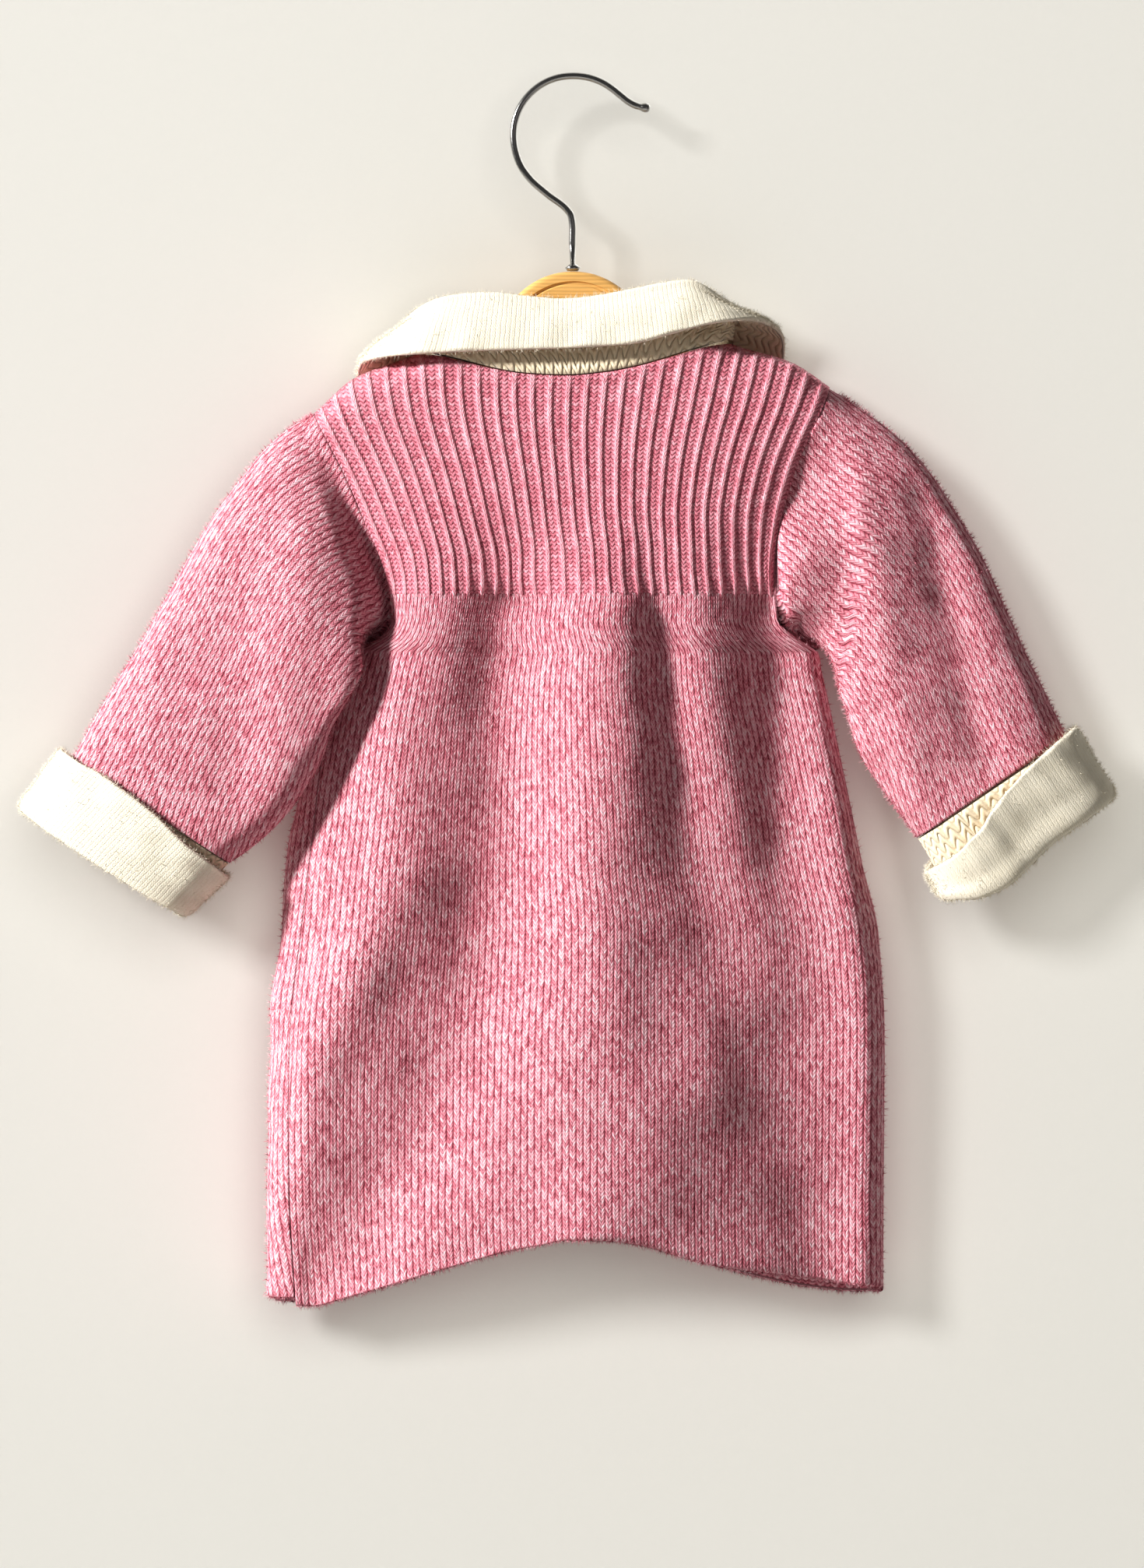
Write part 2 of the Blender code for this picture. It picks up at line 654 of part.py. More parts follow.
def ring(rows, along, share, back):
    """A sleeve section: chord points at share (0 inner, 1 outer) with the bulge of their side."""
    col = {n: look(rows, "along", n, along) for n in rows if n != "along"}
    inner = np.stack([col["xi"], col["yi"], col["zi"]], -1)
    outer = np.stack([col["xo"], col["yo"], col["zo"]], -1)
    way = unit(outer - inner)
    trim = (CLOTH / 2 * ease(along / 0.1))[..., None]
    inner, outer = inner + way * trim, outer - way * trim
    chord = inner + (outer - inner) * share[..., None]
    shape = np.maximum(1 - np.abs(2 * share - 1) ** 3, 0) ** 0.5
    bulge = col["low"] * np.clip(1 - share / 0.5, 0, 1) + col["high"] * np.clip(share / 0.5 - 1, 0, 1)
    bulge = bulge + col["mid"] * (1 - np.abs(share / 0.5 - 1))
    lean = np.where(share < 0.12, 1 - (1 - share / 0.12) ** 2, ((1 - share) / 0.88) ** 1.2)
    point = chord.copy()
    point[..., 1] += np.where(back, -bulge, col["front"]) * shape
    point[..., 0] += np.where(back, lean * col["lean"], 0.0)
    return point


def creases(rows, x, z):
    total = np.zeros_like(x)
    for k in range(len(rows["x0"])):
        a = np.array([rows["x0"][k], rows["z0"][k]])
        b = np.array([rows["x1"][k], rows["z1"][k]])
        t = ((x - a[0]) * (b - a)[0] + (z - a[1]) * (b - a)[1]) / np.sum((b - a) ** 2)
        off = np.hypot(x - a[0] - t * (b - a)[0], z - a[1] - t * (b - a)[1])
        ends = ease((t + 0.25) / 0.4) * ease((1.3 - t) / 0.4)
        total += rows["high"][k] * ends * np.exp(-((off / rows["wide"][k]) ** 2))
    return total


def sleeve(name, rows, crease, back, front, sign):
    """A sleeve: it leaves the armhole along the panels, rolls over and runs down its sections."""
    joined = []
    for b, f in zip(back, front):
        low, high = (b[:1] + f[:1]) / 2, (b[-1:] + f[-1:]) / 2
        joined.append(np.concatenate([low, b[1:-1], high, f[-2:0:-1]]))
    outer, inner, mid = joined
    round_edge = np.roll(mid, -1, 0) - np.roll(mid, 1, 0)
    away = unit(np.cross(round_edge, outer - inner)) * sign
    away[0] = unit(np.array([sign * 0.25, 0.0, 0.97]))
    count = len(back[0])
    is_back = np.arange(len(mid)) < count
    length = np.concatenate([[0], np.cumsum(np.linalg.norm(np.diff(mid[:count], axis=0), axis=1))])
    share = length / length[-1]
    share = np.concatenate([share, share[-2:0:-1]])
    under = ease((0.3 - share) / 0.15)
    start = away * (GAP + UNDERARM_GAP * under)[:, None]
    leave = away.copy()
    leave[:, 1] *= 1 - under * 0.8
    first_at = rows["along"][1]
    target = ring(rows, np.full_like(share, first_at), share, is_back)
    ahead = ring(rows, np.full_like(share, first_at + 0.04), share, is_back)
    reach = np.maximum(np.linalg.norm(target - mid, axis=1), 18.0 + 10.0 * (share < 0.2))[:, None]
    leave = unit(leave) * reach * 1.1
    finish = unit(ahead - target) * reach
    grid = []
    for t in (0.0, 0.14, 0.3, 0.48, 0.68, 0.86):
        h = ((1 + 2 * t) * (1 - t) ** 2, t * (1 - t) ** 2, t * t * (3 - 2 * t), t * t * (t - 1))
        grid.append(h[0] * (mid + start) + h[1] * leave + h[2] * target + h[3] * finish)
    for along in np.linspace(first_at, 1.0, 10):
        grid.append(ring(rows, np.full_like(share, along), share, is_back))
    grid = np.array(grid)
    for _ in range(RELAX):
        beside = np.roll(grid, 1, 1) + np.roll(grid, -1, 1)
        mean = (beside + np.roll(grid, 1, 0) + np.roll(grid, -1, 0)) / 4
        grid[2:7] += 0.5 * under[None, :, None] * (mean - grid)[2:7]
    normal = grid_normal(grid, True) * -sign
    relief = creases(crease, grid[..., 0], grid[..., 2]) * is_back
    relief *= np.clip(-normal[..., 1], 0, 1) * ease((np.arange(len(grid)) - 3) / 4)[:, None]
    grid[..., 1] -= relief
    normal = grid_normal(grid, True) * -sign
    edge = unit(outer - inner)
    for row, keep in ((1, 0.85), (2, 0.5), (3, 0.2)):
        normal[row] = unit(edge * keep + normal[row] * (1 - keep))
    first = (outer + start, inner + start)
    points, faces = wall(grid, normal, CLOTH, True, first)
    make_mesh(name, points, faces, PINK)
    turn = np.where(is_back, share / 2, 1 - share / 2)
    return grid[-1], normal[-1], turn


def cuff(name, rows, base, out, turn, along):
    """A cuff: down from the sleeve's end, over the fold and back up outside to its free edge."""
    along = np.array(along)
    out = unit(out - (out @ along)[:, None] * along)
    fold = look(rows, "turn", "fold", turn)
    shift = look(rows, "turn", "fold_out", turn)
    edge = look(rows, "turn", "edge", turn)
    lift = look(rows, "turn", "edge_out", turn)
    steps = []
    for t in (0.0, 0.35, 0.7, 1.0):
        steps.append((CUFF_START + t * (fold - CUFF_BEND - CUFF_START), shift * t * t))
    for k in (1, 2, 3):
        a = math.pi * k / 4
        down = fold - CUFF_BEND + CUFF_BEND * math.sin(a)
        steps.append((down, shift + CUFF_BEND * (1 - math.cos(a))))
    for t in (0.0, 0.35, 0.7, 1.0):
        a = fold - CUFF_BEND + t * (edge - fold + CUFF_BEND)
        steps.append((a, shift + 2 * CUFF_BEND + ease(t) * (lift - shift - 2 * CUFF_BEND)))
    grid = np.array([base + a[:, None] * along + o[:, None] * out for a, o in steps])
    normal = grid_normal(grid, True)
    if np.sum(normal[0] * out) < 0:
        normal = -normal
    points, faces = wall(grid, normal, CREAM, True)
    make_mesh(name, points, faces, WOOL)


def neckline(count):
    """Middle points of the neck's edge, round from the front's middle over the left, the back and
    the right."""
    x = np.array([-NECK_X, NECK_X])
    z = look(RIDGE, "x", "z", x)
    low, high = across(z, -1.0), across(z, 1.0)
    left, right = (2 * x - low - high) / (high - low)
    points = []
    for side, order in ((1, -1), (-1, 1), (1, -2)):
        if side < 0:
            s = np.linspace(left, right, count)
        elif order == -1:
            s = np.linspace(-0.006, left, count // 2 + 1)[:-1]
        else:
            s = np.linspace(right, 0.006, count // 2 + 1)[1:]
        points.append(body(side, top_edge(side, s), s))
    return np.concatenate(points)


def collar(name):
    """Stand up from the neck's edge, over the fold line and down to the free edge."""
    base = neckline(16)
    length = np.concatenate([[0], np.cumsum(np.linalg.norm(np.diff(base, axis=0), axis=1))])
    turn = length / length[-1]
    fold = np.stack([look(COLLAR, "turn", n, turn) for n in ("fx", "fy", "fz")], -1)
    edge = np.stack([look(COLLAR, "turn", n, turn) for n in ("ex", "ey", "ez")], -1)
    run = unit(np.gradient(base, axis=0))
    rise = unit(np.array([0.0, 0.0, 1.0]) - run[:, 2:] * run)
    at_shoulder = np.exp(-(((np.abs(base[:, :1]) - NECK_X) / 9) ** 2))
    start = base + rise * (GAP + 0.3) + np.array([0.0, 0.0, 2.2]) * at_shoulder
    rise = unit(rise * (1 - at_shoulder) + np.array([0.0, 0.0, 1.0]) * at_shoulder)
    along = np.gradient(fold, axis=0)
    out = unit(np.stack([-along[:, 1], along[:, 0], 0 * turn], -1))
    out = out * np.sign(np.sum(out * (edge - fold), axis=1, keepdims=True))
    bend = 1.8
    inner_top = fold - out * bend
    outer_top = fold + out * bend
    grid = []
    for t in (0.0, 0.25, 0.55, 0.85):
        h = ((1 + 2 * t) * (1 - t) ** 2, t * (1 - t) ** 2, t * t * (3 - 2 * t), t * t * (t - 1))
        reach = np.linalg.norm(inner_top - start, axis=1, keepdims=True)
        up = np.array([0.0, 0.0, 1.0]) * reach
        stand = h[0] * start + h[1] * rise * reach * 0.8
        grid.append(stand + h[2] * (inner_top - (0, 0, bend)) + h[3] * up)
    for k in (0, 1, 2, 3, 4):
        a = math.pi * k / 4
        arc = np.array([0, 0, bend * math.sin(a) - bend])
        grid.append(fold - out * bend * math.cos(a) + arc)
    last = outer_top - (0, 0, bend)
    for t in (0.25, 0.6, 1.0):
        grid.append(last + (edge - last) * t + out * 1.5 * math.sin(math.pi * t))
    grid = np.array(grid)
    normal = grid_normal(grid, False)
    points, faces = wall(grid, normal, CREAM, False)
    make_mesh(name, points, faces, WOOL)


def sweep(name, rows, sides, colour, metal, rough):
    """A round bar along a line in the XZ plane whose radius follows the table."""
    line = np.stack([rows["x"], 0 * rows["x"], rows["z"]], -1)
    run = unit(np.gradient(line, axis=0))
    run[0] = unit(line[1] - line[0])
    side = np.cross(run, (0.0, 1.0, 0.0))
    angle = np.linspace(0, 2 * math.pi, sides, endpoint=False)
    depth = np.array([0.0, 1.0, 0.0]) * np.sin(angle)[None, :, None]
    ringed = side[:, None] * np.cos(angle)[None, :, None] + depth
    points = line[:, None] + ringed * rows["radius"][:, None, None]
    index = np.arange(points.shape[0] * sides).reshape(points.shape[:2])
    faces = grid_faces(index, True)
    faces += [tuple(index[0][::-1]), tuple(index[-1])]
    make_mesh(name, points.reshape(-1, 3), faces, colour, metal, rough)


def rounded_plate(outline, thick, radius, steps):
    """Points of a plate in the XZ plane with rounded edges: the outline is drawn in towards each
    face along its own normals."""
    run = np.roll(outline, -1, 0) - np.roll(outline, 1, 0)
    normal = unit(np.stack([run[:, 1], -run[:, 0]], -1))
    after = np.roll(outline, -1, 0)
    area = 0.5 * np.sum(outline[:, 0] * after[:, 1] - outline[:, 1] * after[:, 0])
    normal = normal if area > 0 else -normal
    loops = []
    for sign in (-1, 1):
        for k in range(steps + 1):
            a = math.pi / 2 * (k if sign > 0 else steps - k) / steps
            draw = radius * (1 - math.cos(a))
            y = sign * (thick / 2 - radius + radius * math.sin(a))
            flat = outline - normal * draw
            loops.append(np.stack([flat[:, 0], np.full(len(flat), y), flat[:, 1]], -1))
    return np.array(loops)


def hanger(name):
    """Arms and round head cut from one board, the head with a turned groove on both faces."""
    x = np.linspace(-97, 97, 31)
    top = look(ARMS, "x", "top", x)
    bottom = look(ARMS, "x", "bottom", x)
    arms_only = np.abs(x - HEAD_X) >= HEAD_RADIUS - 1.5
    upper = np.stack([x, top], -1)[arms_only]
    angle = np.linspace(math.pi - 0.22, 0.22, 25)
    disc = np.stack([HEAD_X + HEAD_RADIUS * np.cos(angle), HEAD_Z + HEAD_RADIUS * np.sin(angle)], -1)
    left, right = upper[upper[:, 0] < 0], upper[upper[:, 0] > 0]
    lower = np.stack([x, bottom], -1)[::-1]
    outline = np.concatenate([left, disc, right, lower])
    loops = rounded_plate(outline, WOOD_THICK, WOOD_ROUND, 2)
    index = np.arange(loops.shape[0] * loops.shape[1]).reshape(loops.shape[:2])
    faces = grid_faces(index, True) + [tuple(index[0][::-1]), tuple(index[-1])]
    board = make_mesh(name, loops.reshape(-1, 3), faces, WOOD, 0.0, 0.45)
    for face in (-1, 1):
        turn = np.linspace(0, 2 * math.pi, 40, endpoint=False)
        round_ = np.linspace(0, 2 * math.pi, 6, endpoint=False)
        far = GROOVE_RADIUS + GROOVE * np.cos(round_)[None, :]
        px = HEAD_X + far * np.cos(turn)[:, None]
        pz = HEAD_Z + far * np.sin(turn)[:, None]
        py = np.broadcast_to(face * WOOD_THICK / 2 + GROOVE * np.sin(round_)[None, :], px.shape)
        points = np.stack([px, py, pz], -1)
        index = np.arange(px.size).reshape(px.shape)
        closed = np.vstack([index, index[:1]])
        cutter = make_mesh("groove", points.reshape(-1, 3), grid_faces(closed, True), WOOD)
        cut = board.modifiers.new("groove", "BOOLEAN")
        cut.operation = "DIFFERENCE"
        cut.solver = "EXACT"
        cut.object = cutter
        apply_all(board)
        material = cutter.data.materials[0]
        bpy.data.objects.remove(cutter)
        bpy.data.materials.remove(material)


def apply_all(obj):
    """Bake an object's modifiers into its mesh."""
    graph = bpy.context.evaluated_depsgraph_get()
    baked = bpy.data.meshes.new_from_object(obj.evaluated_get(graph))
    obj.modifiers.clear()
    obj.data = baked


def main():
    for obj in list(bpy.data.objects):
        bpy.data.objects.remove(obj)
    collection = bpy.data.collections.new(NAME)
    bpy.context.scene.collection.children.link(collection)
    back = panel("back", -1)
    front = panel("front", 1)
    end, out, turn = sleeve("sleeve_left", SLEEVE_LEFT, CREASES_LEFT, back[0], front[0], -1)
    cuff("cuff_left", CUFF_LEFT, end, out, turn, ALONG_LEFT)
    end, out, turn = sleeve("sleeve_right", SLEEVE_RIGHT, CREASES_RIGHT, back[1], front[1], 1)
    cuff("cuff_right", CUFF_RIGHT, end, out, turn, ALONG_RIGHT)
    collar("collar")
    hanger("hanger")
    sweep("hook", HOOK, 12, CHROME, 1.0, 0.15)


main()
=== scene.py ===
"""Looks of a child's knitted sweater dress on a wooden clothes hanger.

Lengths are in millimetres here and become metres when a mesh is made. X is the picture's right, Z is
up, and -Y is the side seen, the back of the dress. The origin is the highest point inside the hook.
"""
import math

import bmesh
import bpy
import numpy as np
from bpy.props import FloatProperty, FloatVectorProperty, IntProperty, PointerProperty
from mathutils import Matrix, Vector


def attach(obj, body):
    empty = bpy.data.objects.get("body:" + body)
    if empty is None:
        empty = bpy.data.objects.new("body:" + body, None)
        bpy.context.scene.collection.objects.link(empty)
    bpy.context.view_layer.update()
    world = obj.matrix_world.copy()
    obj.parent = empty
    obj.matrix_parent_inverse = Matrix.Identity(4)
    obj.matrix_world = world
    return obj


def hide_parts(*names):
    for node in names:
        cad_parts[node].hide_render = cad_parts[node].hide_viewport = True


bl_info = {
    "name": "Sweater Dress Looks",
    "version": (1, 0, 0),
    "blender": (4, 5, 0),
    "location": "3D View > Sidebar > Dress",
    "description": "Knitted panels, sleeves, cuffs, collar, hanger and stage for a hung sweater dress",
    "category": "Object",
}

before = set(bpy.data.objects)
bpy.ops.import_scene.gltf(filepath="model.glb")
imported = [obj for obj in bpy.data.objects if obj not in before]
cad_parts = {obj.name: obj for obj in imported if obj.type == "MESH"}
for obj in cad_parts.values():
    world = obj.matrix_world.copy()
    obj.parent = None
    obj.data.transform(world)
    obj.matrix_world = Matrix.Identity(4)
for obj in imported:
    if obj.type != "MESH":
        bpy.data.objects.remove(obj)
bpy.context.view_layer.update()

MM = 0.001
CLOTH = 2.6  # wall of the pink knit
CREAM = 2.2  # wall of the cream knit
ROLLED_ROW = 1.9  # height of a stitch on a rolled edge
GAP = 0.3  # between two pieces at a seam
RELAX = 8  # rounds of evening out the cloth rolled over the armpit
UNDERARM_GAP = 1.2  # more room under the arm, where the sleeve rolls over the armpit
UNDERARM = 0.3  # share of the armhole's half, from the armpit up, that is under the arm
UNDERARM_FADE = 0.15
LEAST_REACH = 18.0  # least length of the slopes by which a sleeve leaves the armhole
ROLL_REACH = 10.0  # and this much more at the armpit
ROLL_SHARE = 0.2  # share of the armhole's half that has it
ARMPIT = -252.0
LEFT_TOP = -147.6  # left shoulder point
RIGHT_TOP = -136.3  # right shoulder point
NECK_X = 69.8  # the neck meets the shoulder seams this far out
FLATTEN = 24.0  # height over which the panel loses its round side above the armpit
ROUND = 14.0  # height over which the shoulder rolls from back to front
ARMHOLE_BACK = 12.0  # depth of the armhole's edge behind the hanger's plane
ARMHOLE_FRONT = 9.5
ARMHOLE_OPENS = 0.3  # share of its height over which it reaches that depth
SEAM_INSET = 8.0  # height under the armpit over which the side seams move in by half a wall
BEND = 2.0  # power of the body's section below the armpit
BEND_LESS = 0.9  # and this much less in the yoke, which has no round sides
FOLD_TOP = -178.0  # no fold above this height
FOLD_FADE = 50.0  # height over which the folds come in
FOLD_GROW_TOP = -205.0  # they grow wider and higher from here
FOLD_GROW = 315.0  # over this height
RIB_FOOT = -226.5  # where the ribs of the yoke begin
RIB_RISE = 1.2  # height over which the ribs come in
RIB_HEIGHT = 0.9  # of the solid's ribs
RIB_SHOWN = 0.62  # share of it that stands over the purled wales
RIB_SIDE = 0.3  # share of a rib's height at its sides
HEM = -525.0  # mean height of the hem, where the rows are counted from
HEM_SEAM = -530.0  # about the height of the hem at the side seams
SHOULDER_GUESS = -125.0  # the first height tried for the top edge
TOP_ROUNDS = 12  # tries, as the height of an edge and the place of a column depend on each other
HEM_ROUNDS = 4
SLOPE_STEP = 0.8  # height over which a slope is taken
WALES_A_RIB = 3  # one raised wale and two purled ones
ARM_STEPS = (0.0, 0.24, 0.48, 0.7, 0.85, 0.93, 0.977, 1.0)
HIP_ROWS = (-252.0, -249.3, -245.0, -238.0, -229.5)
ARM_SHARES = (0.0, 0.14, 0.3, 0.48, 0.68, 0.86)  # rings between the armhole and the sleeve's first section
CUFF_SHARES = (0.0, 0.35, 0.7, 1.0)
STAND_SHARES = (0.0, 0.25, 0.55, 0.85)
FALL_SHARES = (0.25, 0.6, 1.0)
INSIDE = 4000.0  # added to the wale number on the inner face of the cloth
CUFF_BEND = 1.75  # radius of the cuff's fold at its middle
CUFF_START = 0.75  # from the sleeve's end to the cuff's first row
COLLAR_BEND = 1.8  # radius of the collar's fold at its middle
COLLAR_LIFT = 2.2  # the collar starts this much higher over the shoulder seams
ROLL_ANGLES = (35, 70, 105, 140)  # degrees turned by the rows round a rolled edge
HEAD_X = 0.6  # the hanger's round head
HEAD_Z = -118.6
HEAD_RADIUS = 34.0
HEAD_SUNK = 1.5  # the arms' top edge ends this far inside the head
HEAD_ENDS = 0.22  # radians above its level middle where the head's arc meets the arms
GROOVE_RADIUS = 28.6
GROOVE = 0.9
WOOD_THICK = 11.0
WOOD_ROUND = 2.6
ROUND_STEPS = 6  # over the board's rounded edge
BOARD_POINTS = 90  # along each edge of its outline
GROOVE_ROUND = 120
GROOVE_SIDES = 12
SHARP = 35  # degrees from which the board's edge is sharp
WIRE_RINGS = 300
WIRE_SIDES = 24
STRAND = 0.12  # height of a strand of yarn over the wall
FOLD_MORE = 0.2  # the folds of the cloth go this much further than those of the solid
YOKE_LESS = 0.6  # and this much less in the yoke
YOKE_FADE = 16.0  # height over which the one passes into the other
SIDE_FADE = 30.0  # height under the armpit over which wales are added at the sides
SIDE_AT = 0.44  # share of the width, counted from the middle, past which they are added
SIDE_WIDE = 0.02  # share of the width over which they come in
NECK_BAND = 0.7  # height of the band where the ribs end at the neck
BAND_AT = 1.9  # its middle is this far under the neck's edge
BAND_WIDE = 1.3
BAND_WAVE = 0.15  # share of its height that comes and goes with the wales
NECK_FADE = 6.0  # width over which the band comes in at the neck's ends
RIBS_STOP = 2.2  # no rib comes nearer to the neck's edge
RIBS_FADE = 2.6  # height over which they come in below it
TOP_FADE = 1.5  # every rib ends within this under the top edge
SEAM_CALM = 0.12  # the ripple comes in over this much of 4c(1 - c), c running from one side seam to the other
TOP_CALM = 10.0  # and over this height under the top edge
RIPPLE_ABOVE = 14.0  # it starts this far above the armpit
RIPPLE_FADE = 40.0
YOKE_EVEN = 0.96  # share of the yoke's height with even rows
FIBRE_LONG = 3.0  # the longest loose end of wool
FIBRE_THICK = 0.11  # its radius at the foot
FIBRE_SIDE = 0.35  # most of them are where the normal's depth is within this
FIBRE_FACE = 0.01  # share of them elsewhere
FIBRE_LEAN = 0.75  # spread of their directions about the normal
THIRDS = (0.0, 2.094, 4.189)  # of a turn
PANEL_FIBRES = 6000
SLEEVE_FIBRES = 5000
CUFF_FIBRES = 4000
COLLAR_FIBRES = 6000
INNER_STEP = 3  # the inner face has every third row, and on tubes and collar every third column
NO_YOKE = 1.0e6  # a row that no sleeve has
MAP_START = (100.0, 400.0)  # keeps a sleeve's wales and rows above nought
SKIRT_STEPS = 97
HIP_STEPS = 11
YOKE_STEPS = 35
BACK_DETAIL = 6  # points across a wale
FRONT_DETAIL = 4
SLEEVE_RINGS = 109
SLEEVE_ROUND = 216
LEAN_AT = 0.12  # share of a sleeve's section, from under the arm, where it leans most
EDGE_KEPT = 0.09  # share of a sleeve's rings over which its wall turns from the armhole's own direction
CUFF_ROWS = 85
CUFF_ROUND = 180
COLLAR_ROWS = 85
COLLAR_ROUND = 301
MM_A_PIXEL = 0.34  # scale of the photo
PHOTO_HIGH = 2014
HOOK_ROW = 97  # pixel row of the hook's inner top
PHOTO_MIDDLE_Z = -(PHOTO_HIGH / 2 - HOOK_ROW) * MM_A_PIXEL
NEAR_CLOTH = 12.0  # the seen cloth is this much nearer than the hook
UP = np.array([0.0, 0.0, 1.0])
AWAY = np.array([0.0, 1.0, 0.0])  # from the camera


def table(names, rows):
    """Columns by name."""
    return dict(zip(names.split(), np.array(rows, float).T))


EDGES = table(
    "z left right wales_left wales_right",
    [
        (-545.0, -134.3, 136.7, -134.3, 136.7),
        (-477.0, -134.0, 137.0, -134.0, 137.0),
        (-421.6, -132.9, 137.4, -132.9, 137.4),
        (-375.0, -128.5, 134.6, -128.5, 134.6),
        (-344.4, -125.1, 127.5, -125.1, 127.5),
        (-324.0, -122.1, 123.4, -121.0, 123.2),
        (-290.0, -113.9, 116.3, -110.5, 115.0),
        (-266.0, -104.5, 111.0, -100.5, 107.5),
        (-252.0, -98.0, 107.0, -94.5, 104.5),
        (-249.5, -89.5, 102.5, -93.5, 102.5),
        (-245.0, -81.5, 96.0, -91.8, 98.0),
        (-238.0, -77.6, 90.9, -89.5, 94.5),
        (-227.0, -78.6, 89.6, -87.0, 94.0),
        (-213.0, -82.0, 89.3, -86.5, 92.2),
        (-195.8, -89.4, 91.1, -90.4, 92.3),
        (-174.4, -98.9, 96.6, -98.9, 97.0),
        (-155.0, -108.8, 104.7, -108.8, 104.7),
        (-147.0, -112.5, 108.5, -112.5, 108.5),
        (-136.0, -115.6, 112.5, -115.6, 112.5),
        (-125.0, -117.2, 115.9, -117.2, 115.9),
        (-116.0, -117.6, 117.6, -117.6, 117.6),
        (-60.0, -117.6, 117.6, -117.6, 117.6),
    ],
)
DEPTHS = table(
    "z back front",
    [
        (-545.0, 29.0, 21.0),
        (-400.0, 27.0, 20.0),
        (-300.0, 24.0, 18.0),
        (-250.0, 22.0, 17.0),
        (-200.0, 20.0, 16.0),
        (-150.0, 17.5, 14.0),
        (-115.0, 15.0, 12.5),
        (-60.0, 15.0, 12.5),
    ],
)
RIDGE = table(
    "x z",
    [
        (-130.0, -160.0),
        (-112.5, -147.6),
        (-94.9, -132.3),
        (-69.8, -122.4),
        (-40.0, -104.0),
        (0.0, -92.0),
        (40.0, -100.0),
        (69.8, -117.5),
        (95.2, -125.2),
        (112.5, -136.3),
        (130.0, -150.0),
    ],
)
NECK_BACK = table(
    "x z",
    [
        (-69.8, -122.4),
        (-60.0, -122.9),
        (-50.0, -124.6),
        (-34.0, -128.6),
        (-18.0, -131.0),
        (-2.0, -131.6),
        (14.0, -130.2),
        (28.0, -127.6),
        (41.5, -123.8),
        (56.1, -119.6),
        (69.8, -117.5),
    ],
)
NECK_FRONT = table(
    "x z",
    [
        (-69.8, -122.4),
        (-62.0, -132.0),
        (-50.0, -144.0),
        (-30.0, -156.0),
        (0.0, -162.0),
        (30.0, -155.0),
        (50.0, -142.0),
        (62.0, -128.5),
        (69.8, -117.5),
    ],
)
HEM_BACK = table(
    "x z",
    [
        (-134.3, -531.8),
        (-127.5, -535.8),
        (-114.2, -536.2),
        (-100.6, -532.6),
        (-73.8, -524.4),
        (-46.9, -516.2),
        (-26.9, -510.6),
        (-11.9, -507.6),
        (-1.4, -505.4),
        (15.0, -505.6),
        (30.9, -508.0),
        (48.6, -513.6),
        (61.9, -517.2),
        (88.7, -521.4),
        (115.6, -525.3),
        (136.0, -529.0),
    ],
)
HEM_FRONT = table(
    "x z",
    [
        (-134.3, -531.8),
        (-127.5, -535.8),
        (-120.0, -536.4),
        (-104.0, -532.0),
        (-80.0, -524.0),
        (-47.0, -513.0),
        (-20.0, -510.4),
        (-8.0, -509.6),
        (15.0, -506.0),
        (45.0, -512.0),
        (62.0, -520.5),
        (82.0, -526.5),
        (102.0, -530.5),
        (122.0, -531.8),
        (136.0, -531.0),
    ],
)
# How far the left side seam has turned to the back, as a share of half the width.
SEAM_TURN = table(
    "z share",
    [
        (-545.0, 0.098),
        (-487.0, 0.076),
        (-400.0, 0.072),
        (-338.0, 0.080),
        (-300.0, 0.055),
        (-275.0, 0.025),
        (-252.0, 0.0),
        (-60.0, 0.0),
    ],
)
# Folds hang down the panels: the fold's line by its x at four heights, half its width and its
# height at the top and at the hem. A height below nought is a valley.
FOLD_Z = (-536.0, -440.0, -340.0, -215.0)
FOLD_NAMES = "x_hem x_low x_mid x_top wide_top wide_hem high_top high_hem"
FOLDS_BACK = table(
    FOLD_NAMES,
    [
        (-150.0, -119.0, -80.0, -71.0, 21.0, 18.0, 4.0, 9.0),
        (-112.0, -60.0, -31.0, -26.0, 18.5, 30.0, -8.0, -8.0),
        (6.5, 13.0, 13.0, 17.0, 21.0, 30.0, 7.0, 7.0),
        (92.0, 81.0, 56.0, 33.0, 10.0, 24.0, -3.0, -5.0),
        (93.0, 84.0, 58.0, 54.0, 9.0, 12.0, 1.0, 0.5),
        (122.0, 106.5, 94.5, 87.0, 17.0, 25.0, -7.5, -7.5),
        (131.0, 134.0, 123.0, 100.0, 11.0, 12.0, 5.0, 7.0),
    ],
)
FOLDS_FRONT = table(
    FOLD_NAMES,
    [
        (-100.0, -88.0, -72.0, -60.0, 15.0, 22.0, 2.5, 4.5),
        (-52.0, -44.0, -36.0, -32.0, 15.0, 22.0, -3.5, -5.0),
        (2.0, 4.0, 2.0, 0.0, 17.0, 26.0, 3.5, 6.0),
        (58.0, 50.0, 42.0, 36.0, 13.0, 20.0, -4.0, -5.0),
        (96.0, 86.0, 76.0, 64.0, 13.0, 20.0, 2.5, 4.0),
    ],
)
